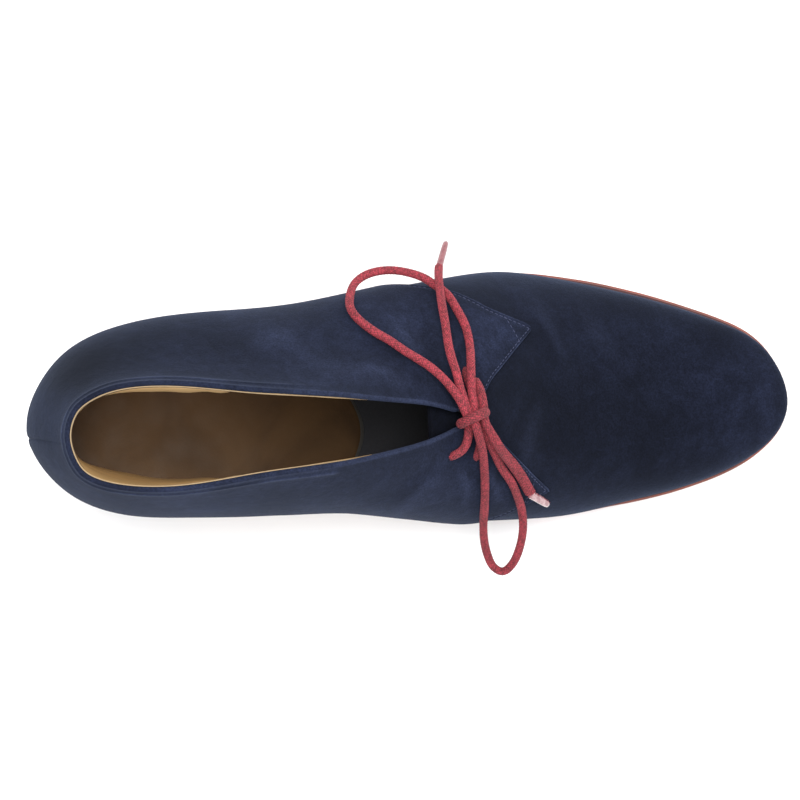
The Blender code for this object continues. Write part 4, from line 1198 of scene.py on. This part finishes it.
def stitch_tree():
    """Geometry nodes that lay one thread stitch after another along lines."""
    tree = bpy.data.node_groups.new("Stitches", "GeometryNodeTree")
    tree.is_modifier = True
    for name, kind, way in (("Geometry", "Geometry", "INPUT"), ("Material", "Material", "INPUT"),
                            ("Geometry", "Geometry", "OUTPUT")):
        tree.interface.new_socket(name, in_out=way, socket_type="NodeSocket" + kind)
    for name, value in (("Pitch", 2.2 * MM), ("Gap", 0.35 * MM), ("Thickness", 0.5 * MM)):
        tree.interface.new_socket(name, in_out="INPUT", socket_type="NodeSocketFloat").default_value = value
    given = add(tree, "NodeGroupInput").outputs

    def node(kind, inputs, output=0, **settings):
        return add(tree, kind, inputs, **settings).outputs[output]

    curve = node("GeometryNodeMeshToCurve", {"Mesh": given["Geometry"]})
    even = node("GeometryNodeResampleCurve", {"Curve": curve, "Length": given["Pitch"]}, mode="LENGTH")
    spots = add(tree, "GeometryNodeCurveToPoints", {"Curve": even}, mode="EVALUATED").outputs
    ball = node("GeometryNodeMeshUVSphere", {"Segments": 8, "Rings": 6, "Radius": 0.5}, "Mesh")
    long = node("ShaderNodeMath", {0: given["Pitch"], 1: given["Gap"]}, operation="SUBTRACT")
    size = node("ShaderNodeCombineXYZ", {0: given["Thickness"], 1: given["Thickness"], 2: long})
    laid = node("GeometryNodeInstanceOnPoints", {"Points": spots["Points"], "Instance": ball,
                                                 "Rotation": spots["Rotation"], "Scale": size})
    real = node("GeometryNodeRealizeInstances", {"Geometry": laid})
    done = node("GeometryNodeSetMaterial", {"Geometry": real, "Material": given["Material"]})
    add(tree, "NodeGroupOutput", {"Geometry": done})
    return tree


def sew(name, lines, material, pitch, gap, thickness):
    """Rows of stitches along lines of points, as one plain mesh."""
    mesh = bpy.data.meshes.new(name)
    points, edges = [], []
    for line in lines:
        edges += [(len(points) + i, len(points) + i + 1) for i in range(len(line) - 1)]
        points += [tuple(point) for point in line]
    mesh.from_pydata(points, edges, [])
    host = show(name + "_lines", mesh)
    tree = stitch_tree()
    modifier = host.modifiers.new("stitches", "NODES")
    modifier.node_group = tree
    values = {"Pitch": pitch, "Gap": gap, "Thickness": thickness, "Material": material}
    for item in tree.interface.items_tree:
        if item.in_out == "INPUT" and item.name in values:
            modifier[item.identifier] = values[item.name]
    bpy.context.view_layer.update()
    sewn = plain_mesh(host)
    bpy.data.objects.remove(host)
    sewn.name = name
    sewn.shade_smooth()
    return show(name, sewn)


def line_on(which, rows, lift):
    """Points of a stitch line in from the quarters' seam or edge, along rows."""
    found = []
    for row in rows:
        stops = LINES[which][row]
        if stops.max() < 2.2 * STITCH_INSET:
            continue
        order = np.argsort(stops)
        spot, up = [points_at(STITCH_INSET, stops[order], LINES[kind][row][order])
                    for kind in ("outer", "normal")]
        found.append(spot + up * lift)
    return found


def along_line(line, distance):
    """Point at a distance along a line of points."""
    return points_at(distance, runs(line), line)


def on_face(first, last, lift):
    """Straight row of points over the quarters' outer face."""
    outer, normal = [LINES[kind].reshape(-1, 3) for kind in ("outer", "normal")]
    found = []
    for point in np.linspace(first, last, 14):
        near = np.argmin(np.linalg.norm(outer - point, axis=1))
        found.append(point + normal[near] * ((outer[near] - point) @ normal[near] + lift))
    return found


class BOOT_OT_stitches(Operator):
    """Sews the quarters' seams, their front edges and the boxes at the front corners"""
    bl_idname = "boot.stitches"
    bl_label = "Stitches"

    def execute(self, context):
        settings = context.scene.boot
        count = len(LINES["station"])
        thick = settings.thread * MM
        lift = thick * 0.05
        seam = line_on("seam", range(count), lift)
        rows = [seam]
        for on_inner in (True, False):
            part = [row for row in range(count)
                    if LINES["station"][row] > FRONT_EDGE and (row < count // 2) == on_inner]
            edge = line_on("edge", part, lift)
            first, last = [along_line(line if on_inner else line[::-1], distance)
                           for line, distance in ((seam, 8.6 * MM), (edge, 6.5 * MM))]
            rows += [edge, on_face(first, last, lift)]
        sewn = sew("quarter_stitches", rows, kept(thread), settings.stitch_length * MM, 0.5 * MM, thick)
        settle(sewn, "navy_suede")
        return {"FINISHED"}


# ---------------------------------------------------------------- sole and heel

# Section of the sole's edge: share of its thickness, drop and reach beyond its edge in millimetres
SOLE_SECTION = (
    (1.0, 0.0, -5.0), (1.0, 0.0, -0.62), (1.0, -0.10, -0.2), (1.0, -0.42, 0.0), (0.66, 0.0, 0.05),
    (0.5, 0.0, 0.07), (0.34, 0.0, 0.05), (0.0, 0.42, 0.0), (0.0, 0.10, -0.14), (0.0, 0.0, -0.5),
    (0.0, 0.0, -3.4), (0.0, 0.25, -3.8), (0.0, 0.0, -4.2), (0.0, 0.0, -6.0),
)


def ring_points(knots, height, extra):
    """Closed outline of the sole beyond the sole line at each knot, at a height for each place."""
    points = []
    for knot in knots:
        column = 1 if knot < PERIOD / 2 else 2
        reach = smooth(SOLE_EDGE[:, (0, column)], RIB_AT(knot)[ALONG]) * MM
        plan = sole_line(knot, reach + extra * MM)
        points.append((*plan, height(plan[0])))
    return place(points)


def across(ring, columns):
    """Points between the two sides of an outline, row by row from its back to its front."""
    half = len(ring) // 2
    other = ring[-np.arange(half + 1)]
    share = np.linspace(0, 1, columns)[None, :, None]
    return ring[:half + 1, None, :] * (1 - share) + other[:, None, :] * share


class BOOT_OT_sole(Operator):
    """Makes the leather outsole with a rounded painted edge"""
    bl_idname = "boot.sole"
    bl_label = "Outsole"

    def execute(self, context):
        knots = loop_knots(2.2 * MM)

        def at(share, drop):
            return lambda along: ((bed_height(along) - GAP) * share + sole_underside(along) * (1 - share)
                                  + drop * MM)

        grid = np.array([ring_points(knots, at(share, drop), extra) for share, drop, extra in SOLE_SECTION])
        count, around = grid.shape[:2]
        points = [grid.reshape(-1, 3)]
        faces = [grid_faces(count, around, closed_columns=True)]
        strip = np.repeat(np.arange(count - 1), around)
        # paint on the edge (0), leather underneath (1), painted shade beside the upper (2)
        kinds = [np.where(strip >= 8, 1, np.where(strip < 1, 2, 0))]
        for ring, kind in ((grid[0], 2), (grid[-1], 1)):
            fill = across(ring, 9)
            plate = grid_faces(*fill.shape[:2]) + sum(len(part) for part in points)
            points.append(fill.reshape(-1, 3))
            faces.append(plate)
            kinds.append(np.full(len(plate), kind))
        sole = make_mesh("leather_outsole", np.concatenate(points), np.concatenate(faces),
                         [kept(edge_paint), kept(sole_leather), kept(feather_line)],
                         np.concatenate(kinds).tolist(), merge=5e-6)
        shade(sole, 60)
        settle(sole, "sole_leather", "outsole")
        return {"FINISHED"}


# Height within a layer of the heel, and how far its face lies in there, millimetres
HEEL_GROOVES = ((0.0, 0.14), (0.07, 0.02), (0.5, 0.0), (0.93, 0.02))

# Section of the lift's edge: height and how far it lies in, millimetres
LIFT_SECTION = ((0.0, 5.0), (0.0, 0.7), (0.12, 0.25), (0.5, 0.0), (3.0, -0.05), (5.6, 0.0), (5.9, 0.2),
                (6.0, 0.6))

HEEL_EDGE = 0.0008
HEEL_CORNER = 1.2 * MM
HEEL_BREAST = 0.058
HEEL_MIDDLE = np.array((0.031, 0.003))
HEEL_TAPER = 0.84
HEEL_SET = 0.0015
HEEL_CURVE = 1.3


def heel_outline(count):
    """Plan of the heel's top with rounded breast corners, evenly spaced."""
    plans = [(knot, sole_line(knot, HEEL_EDGE)) for knot in loop_knots(1.2 * MM)]
    plans = [(knot, plan) for knot, plan in plans if plan[0] < HEEL_BREAST - 1.5 * MM]
    outer = [plan for knot, plan in plans if knot < PERIOD / 2][::-1]
    inner = [plan for knot, plan in plans if knot > PERIOD / 2][::-1]
    first, last = np.array((HEEL_BREAST, outer[0][1])), np.array((HEEL_BREAST, inner[-1][1]))
    corner = HEEL_CORNER * np.array(((0, -1), (-0.3, -0.3), (-1, 0)))
    path = np.array([*first + corner, *outer, *inner, *last + corner[::-1] * (1, -1)])
    path = np.vstack((path, path[:1]))
    run = runs(path)
    return points_at(np.linspace(0, run[-1], count, endpoint=False), run, path)


def heel_ring(outline, share, inset):
    """Plan of the heel at a share of its height, drawn in towards the floor and by an inset."""
    narrowing = HEEL_TAPER + (1 - HEEL_TAPER) * share ** HEEL_CURVE
    plan = HEEL_MIDDLE + (outline - HEEL_MIDDLE) * narrowing
    plan[:, 0] += HEEL_SET * (1 - share)
    return plan - unit(plan - HEEL_MIDDLE) * inset * MM


def ring_stack(name, rings, material, sharp=None, ends=None, merge=1e-6):
    """Solid through closed rings of points, closed at both ends by fans round their middles."""
    grid = np.array(rings)
    count, around = grid.shape[:2]
    first, last = ends if ends else (grid[0].mean(axis=0), grid[-1].mean(axis=0))
    points = np.concatenate((grid.reshape(-1, 3), (first, last)))
    faces = grid_faces(count, around, closed_columns=True).tolist()
    middle, far = count * around, (count - 1) * around
    for step in range(around):
        following = (step + 1) % around
        faces += [(step, following, middle), (far + following, far + step, middle + 1)]
    return make_mesh(name, points, faces, [material], sharp=sharp, merge=merge)


class BOOT_OT_heel(Operator):
    """Makes the stacked leather heel and the rubber lift under it"""
    bl_idname = "boot.heel"
    bl_label = "Heel"

    def execute(self, context):
        outline = heel_outline(220)
        low = LIFT_THICKNESS + 0.05 * MM
        count = round((bed_height(0.03) - SOLE_THICKNESS - GAP - low) / context.scene.boot.heel_layers)
        shares = [((layer + part) / count, inset) for layer in range(count) for part, inset in HEEL_GROOVES]
        rings = []
        for share, inset in shares + [(1.0, HEEL_GROOVES[0][1])]:
            plan = heel_ring(outline, share, inset)
            tops = np.array([sole_underside(along) for along in plan[:, 0]]) + 0.05 * MM
            rings.append(place(np.column_stack((plan, low + (tops - low) * share))))
        stack = ring_stack("stacked_heel", rings, kept(stack_leather), 70)
        settle(stack, "stack_leather", "heel_stack")
        rings = [place(np.insert(heel_ring(outline, 0.0, inset), 2, height * MM, axis=1))
                 for height, inset in LIFT_SECTION]
        lift = ring_stack("top_lift", rings, kept(lift_rubber), 50)
        settle(lift, "lift_rubber", "heel_top_lift")
        return {"FINISHED"}


# ---------------------------------------------------------------- inside

INSOLE_INSET = 0.0019
SOCK_INSET = 0.0008
SOCK_LENGTH = 0.1092
SOCK_ROUND = 0.016
SOCK_APEX = -2.7            # how far to the inner side the middle of its front lies


def plate(name, rows, low, thickness, materials, slots=(0, 0, 0), crown=0.0, skive=0.0):
    """Thin plate whose rows run from side to side; its top may dish and its front may be skived thin."""
    rows = np.asarray(rows)
    heights = np.array([[low(along) for along in row] for row in rows[..., 0]])[..., None]
    top, bottom = [np.concatenate((rows, heights + rise), axis=-1) for rise in (thickness, 0.0)]
    top[..., 2] += crown * np.linspace(-1, 1, rows.shape[1]) ** 2
    top[-1, :, 2] -= skive
    return shell(name, place(top), place(bottom), materials, slots, sharp=60)


def sock_front(side):
    """How far forward the sock reaches at a distance to the side."""
    sweep = SOCK_ROUND * (1 - np.exp(-(0.034 * (side / MM - SOCK_APEX) ** 2) * MM / SOCK_ROUND))
    return SOCK_LENGTH - sweep


def plate_rows(inset, last_along, columns, front=None):
    """Rows of plan points from the back to a place along the boot, inside the sole line."""
    rows = []
    for knot in loop_knots(2.4 * MM):
        outer, inner = sole_line(knot, -inset), sole_line(PERIOD - knot, -inset)
        if knot > PERIOD / 2 or max(outer[0], inner[0]) > last_along:
            break
        rows.append(outer + (inner - outer) * np.linspace(0, 1, columns)[:, None])
    if front:
        last = rows[-1]
        for step in range(1, 17):
            forward = (front(last[:, 1]) - last[:, 0]) * step / 16
            rows.append(last + np.column_stack((forward, np.zeros(columns))))
    return rows


class BOOT_OT_inside(Operator):
    """Makes the insole board, the leather sock on it and the tongue"""
    bl_idname = "boot.inside"
    bl_label = "Insole, sock and tongue"

    def execute(self, context):
        rows = plate_rows(INSOLE_INSET, 1.0, 15)
        board = plate("insole_board", rows, bed_height, INSOLE_THICKNESS, [kept(insole_board)],
                      crown=0.5 * MM)
        settle(board, "insole_board", "insole")
        rows = plate_rows(INSOLE_INSET + SOCK_INSET - 0.5 * MM, SOCK_LENGTH - SOCK_ROUND, 25, sock_front)
        sock = plate("heel_sock_leather", rows, lambda along: bed_height(along) + INSOLE_THICKNESS, 1.3 * MM,
                     [kept(sock_leather), kept(sock_rim)], (0, 0, 1), crown=0.35 * MM, skive=0.9 * MM)
        for face in sock.data.polygons:
            along, side = plan_of(face.center)
            if along > sock_front(side) - 0.7 * MM:
                face.material_index = 1
        settle(sock, "sock_leather", "heel_sock")
        grid = [[wall_point(along * MM, crest_middle(along * MM) + smooth(TONGUE, along) * share * MM)
                 for share in np.linspace(1, -1, 21)] for along in np.linspace(133, 164, 26)]
        grid = place(np.array(grid))
        normal = normals(grid)
        normal *= np.sign(normal[10, 10, 2])
        drop = WALL + 0.5 * MM
        tongue = shell("tongue_suede", grid - normal * drop, grid - normal * (drop + 1.4 * MM),
                       [kept(suede, "shaded tongue suede", "vamp_colour", 0.5, 0.02)], sharp=60)
        settle(tongue, "navy_suede", "tongue")
        return {"FINISHED"}


# ---------------------------------------------------------------- lace

# Cotton of the lace, lit and in painted shade: name and share of its colour; the darker copies are painted
# shade
SHADED = (("crimson braided cotton", 1.0), ("crimson braided cotton, soiled", 0.84),
          ("crimson braided cotton, rubbed at the knot", 0.76))
BRAID_LAY = 11.5 * MM        # way along the lace in which a strand goes once round
BRAID_DEPTH = 0.26 * MM      # how deep the lace is between its strands

# Tips: half width and half thickness, millimetres to a millimetre of radius, and their film
# the standing tip is a darker, less glossy copy of the lying tip's film
STANDING_TIP = (0.85, 0.95, "rose acetate tip", "#83484d", 0.3)
LYING_TIP = (1.0, 0.62, "clear acetate tip", "#9c7476", 0.8)

# Share of a tip's length and its radius there, millimetres
TIP_PROFILE = ((-0.05, 0.9), (-0.02, 1.38), (0.02, 1.42), (0.3, 1.40), (0.6, 1.36), (0.9, 1.28), (0.98, 1.12),
               (1.0, 0.8))


def spline_path(points, spacing):
    """Points at an even spacing on a smooth curve through a route, in the boot's frame."""
    points = place(np.array(points) * MM)
    run = runs(points)
    curve = spline(run, points)
    line = np.array([curve(stop) for stop in np.linspace(0, run[-1], 40 * len(run))])
    length = runs(line)
    stops = np.linspace(0, length[-1], max(8, round(length[-1] / spacing)))
    return points_at(stops, length, line), length[-1]


def braid(name, points, diameter, flat=1.0, shaded=0):
    """Round braided lace along a route: strands cross in diamonds that stand out of its surface."""
    path, length = spline_path(points, 0.2 * MM)
    tangent = unit(np.gradient(path, axis=0))
    side = np.cross(tangent[0], (0.0, 0.0, 1.0))
    sides = []
    for direction in tangent:
        side = unit(side - direction * (side @ direction))
        sides.append(side)
    sides = np.array(sides)
    ups = np.cross(tangent, sides)
    run = np.linspace(0, length, len(path))[:, None]
    angle = np.linspace(0, 2 * math.pi, 48, endpoint=False)[None, :]
    lay = 2 * math.pi * run / BRAID_LAY
    crown = np.abs(np.sin(5 * (angle + lay)) * np.sin(5 * (angle - lay))) ** 0.55
    radius = diameter / 2 * (1 + 0.02 * np.sin(run / (3.1 * MM))) - BRAID_DEPTH * (1 - crown)
    wide = 1 + (flat - 1) * np.clip((run - 0.35 * length) / (0.3 * length), 0, 1)
    rings = (path[:, None, :] + sides[:, None, :] * (np.cos(angle) * radius * wide)[..., None]
             + ups[:, None, :] * (np.sin(angle) * radius / wide ** 0.6)[..., None])
    lace = ring_stack(name, rings, kept(lace_cotton, *SHADED[shaded]), ends=(path[0], path[-1]), merge=1e-8)
    height = lace.data.attributes.new("crown", "FLOAT", "POINT")
    height.data.foreach_set("value", np.append(crown, (0.3, 0.3)).astype(np.float32))
    return lace, path, length


def tip(name, ends, standing):
    """Acetate tip rolled flat over a lace's end; it stands on its edge or lies on its side."""
    start, end = place(np.array(ends) * MM)
    axis = end - start
    side = unit(np.cross(axis, (0.0, 0.0, 1.0)))
    up = np.cross(side, unit(axis))
    wide, thin, *film = STANDING_TIP if standing else LYING_TIP
    angle = np.linspace(0, 2 * math.pi, 32, endpoint=False)
    rings = []
    for share, radius in TIP_PROFILE:
        wave = radius * MM * (1 + 0.02 * np.cos(3 * angle + share * 9))
        rings.append(start + axis * share + side * (np.cos(angle) * wave * wide)[:, None]
                     + up * (np.sin(angle) * wave * thin)[:, None])
    return ring_stack(name, rings, kept(aglet_film, *film), 40)


def knot_ring():
    """Route of the wrap, over the bundle of strands and round under it."""
    turns = np.radians(np.linspace(-75, 255, 15))[:, None]
    return (np.array(KNOT_CENTRE) + np.array(KNOT_ACROSS) * KNOT_HALF[0] * np.cos(turns)
            + np.array((0, 0, KNOT_HALF[1])) * np.sin(turns))


class BOOT_OT_lace(Operator):
    """Laces the boot: bars over the throat, the knot, two loops and two ends with their tips"""
    bl_idname = "boot.lace"
    bl_label = "Lace"

    def execute(self, context):
        diameter = context.scene.boot.lace_diameter * MM
        outer_tip = settle(tip("aglet_tip_outer", OUTER_AGLET, True), "lace_tip", "aglet_outer")
        inner_tip = settle(tip("aglet_tip_inner", INNER_AGLET, False), "lace_tip", "aglet_inner")
        settle(braid("lace_bar_front", FRONT_BAR, diameter, shaded=2)[0], "lace_cotton", "lace_bars")
        settle(braid("lace_bar_back", BACK_BAR, diameter, shaded=1)[0], "lace_cotton")
        settle(braid("lace_knot_wrap", knot_ring(), diameter * 1.18, shaded=2)[0], "lace_cotton", "lace_knot")
        for name, points, node, pieces, end, flat, shaded in (
                ("lace_loop_lateral", OUTER_LOOP, "lace_loop_outer", [], "knot", 1.0, 0),
                ("lace_loop_medial", INNER_LOOP, "lace_loop_inner", [], "knot", 1.0, 1),
                ("lace_tail_lateral", OUTER_END, "lace_end_outer", [outer_tip], "fitting", 1.0, 0),
                ("lace_tail_medial", INNER_END, "lace_end_inner", [inner_tip], "fitting", 1.35, 1)):
            cord, path, length = braid(name, points, diameter, flat, shaded)
            settle(cord, "lace_cotton", node)
        return {"FINISHED"}


# ---------------------------------------------------------------- stage

# Soft lights: place, size and share of the key light's power
SOFTBOXES = (("overhead_softbox", (0.36, -0.05, 1.6), 1.0, 1.0),
             ("side_softbox", (-0.5, 0.05, 1.6), 1.0, 0.42), ("toe_softbox", (0.2, -1.5, 0.7), 0.8, 0.22))
CAMERA_AIM = (0.0, 0.0048, 0.055)
CAMERA_UP = (0.998, -0.058, 0.0)    # what lies up in the camera's picture


def soft_light(name, spot, size, power):
    """Round soft light that shines at the boot's middle."""
    light = bpy.data.lights.new(name, "AREA")
    light.shape = "DISK"
    light.size = size
    light.energy = power
    thing = show(name, light)
    thing.location = spot
    thing.rotation_euler = (Vector((0, 0, 0.05)) - Vector(spot)).to_track_quat("-Z", "Y").to_euler()


class BOOT_OT_stage(Operator):
    """Sets the camera, the soft lights and the pale floor"""
    bl_idname = "boot.stage"
    bl_label = "Stage"

    def execute(self, context):
        scene, settings = context.scene, context.scene.boot
        camera = bpy.data.cameras.new("camera")
        camera.lens = settings.camera_lens
        camera.sensor_width = 36.0
        camera.clip_end = 20.0
        spot = Vector(settings.camera_place)
        ahead = (Vector(CAMERA_AIM) - spot).normalized()
        right = ahead.cross(Vector(CAMERA_UP)).normalized()
        turn = Matrix((right, right.cross(ahead), -ahead)).transposed().to_4x4()
        scene.camera = show("camera", camera)
        scene.camera.matrix_world = Matrix.Translation(spot) @ turn
        world = bpy.data.worlds.new("studio")
        world.use_nodes = True
        ground = world.node_tree.nodes["Background"]
        ground.inputs["Color"].default_value = linear("#f4f6fa")
        ground.inputs["Strength"].default_value = settings.fill_light
        scene.world = world
        scene.view_settings.view_transform = "Standard"
        for name, place_of_light, size, share in SOFTBOXES:
            soft_light(name, place_of_light, size, settings.key_light * share)
        floor = make_mesh("paper_floor", [(-3, -3, 0), (3, -3, 0), (3, 3, 0), (-3, 3, 0)], [(0, 1, 2, 3)],
                          [kept(floor_paper)], closed=False)
        return {"FINISHED"}


# ---------------------------------------------------------------- add-on


def colour_of(name, description, code):
    """A colour that a maker can set."""
    return FloatVectorProperty(name=name, description=description, subtype="COLOR", size=3, min=0.0, max=1.0,
                               default=linear(code)[:3])


def size_of(name, description, default, low, high, **kind):
    """A size or an amount that a maker can set."""
    return FloatProperty(name=name, description=description, default=default, min=low, max=high, **kind)


class BootSettings(PropertyGroup):
    """Sizes and colours of the finish that a maker would change"""
    vamp_colour: colour_of("Vamp", "Colour of the suede over the toes", "#0b0e19")
    quarters_colour: colour_of("Quarters", "Colour of the suede at the heel and on the instep", "#131725")
    lace_colour: colour_of("Lace", "Colour of the cotton lace", "#922d38")
    edge_colour: colour_of("Sole edge", "Colour of the paint on the edge of the sole", "#833b2a")
    heel_colour: colour_of("Heel", "Colour of the stacked heel", "#54341f")
    lining_colour: colour_of("Lining", "Colour of the lining leather", "#a5824f")
    lace_diameter: size_of("Lace diameter", "Across the round lace, in millimetres", 2.9, 1.0, 6.0)
    hole_diameter: size_of("Hole diameter", "Across a lace hole, in millimetres", 3.8, 1.0, 6.0)
    stitch_length: size_of("Stitch length", "From one stitch to the next, in millimetres", 1.7, 0.8, 5.0)
    thread: size_of("Thread", "Thickness of the sewing thread, in millimetres", 0.3, 0.1, 1.5)
    collar_ridge: size_of("Collar ridge", "Height of the ridge under the collar, mm", 0.32, 0.0, 1.0)
    crease_depth: size_of("Creases", "Strength of the creases in the suede", 1.0, 0.0, 3.0, subtype="FACTOR")
    heel_layers: size_of("Heel layer", "Thickness of a layer of the heel", 0.0037, 0.001, 0.02, unit="LENGTH")
    camera_place: FloatVectorProperty(name="Camera", description="Where the camera stands", size=3,
                                      default=(-0.0432, 0.0065, 1.8), subtype="TRANSLATION")
    camera_lens: size_of("Lens", "Focal length of the camera, in millimetres", 237.5, 20.0, 500.0)
    key_light: size_of("Key light", "Power of the large light, in watts", 28.5, 0.0, 2000.0, unit="POWER")
    fill_light: size_of("Fill", "Strength of the light from all round", 0.80, 0.0, 10.0, subtype="FACTOR")


OPERATORS = (BOOT_OT_stage, BOOT_OT_lace, BOOT_OT_upper, BOOT_OT_quarters, BOOT_OT_stitches,
             BOOT_OT_sole, BOOT_OT_heel, BOOT_OT_inside)


class BOOT_PT_panel(Panel):
    """Lists the boot's pieces and sizes"""
    bl_label = "Heeled Ankle Boot"
    bl_idname = "BOOT_PT_panel"
    bl_space_type = "VIEW_3D"
    bl_region_type = "UI"
    bl_category = "Boot"

    def draw(self, context):
        for operator in OPERATORS:
            self.layout.operator(operator.bl_idname)
        for name in BootSettings.__annotations__:
            self.layout.prop(context.scene.boot, name)


CLASSES = (BootSettings, *OPERATORS, BOOT_PT_panel)


def register():
    for cls in CLASSES:
        bpy.utils.register_class(cls)
    bpy.types.Scene.boot = PointerProperty(type=BootSettings)


def unregister():
    del bpy.types.Scene.boot
    for cls in reversed(CLASSES):
        bpy.utils.unregister_class(cls)


def main():
    register()
    for operator in OPERATORS:
        group, name = operator.bl_idname.split(".")
        getattr(getattr(bpy.ops, group), name)()


if __name__ == "__main__":
    main()
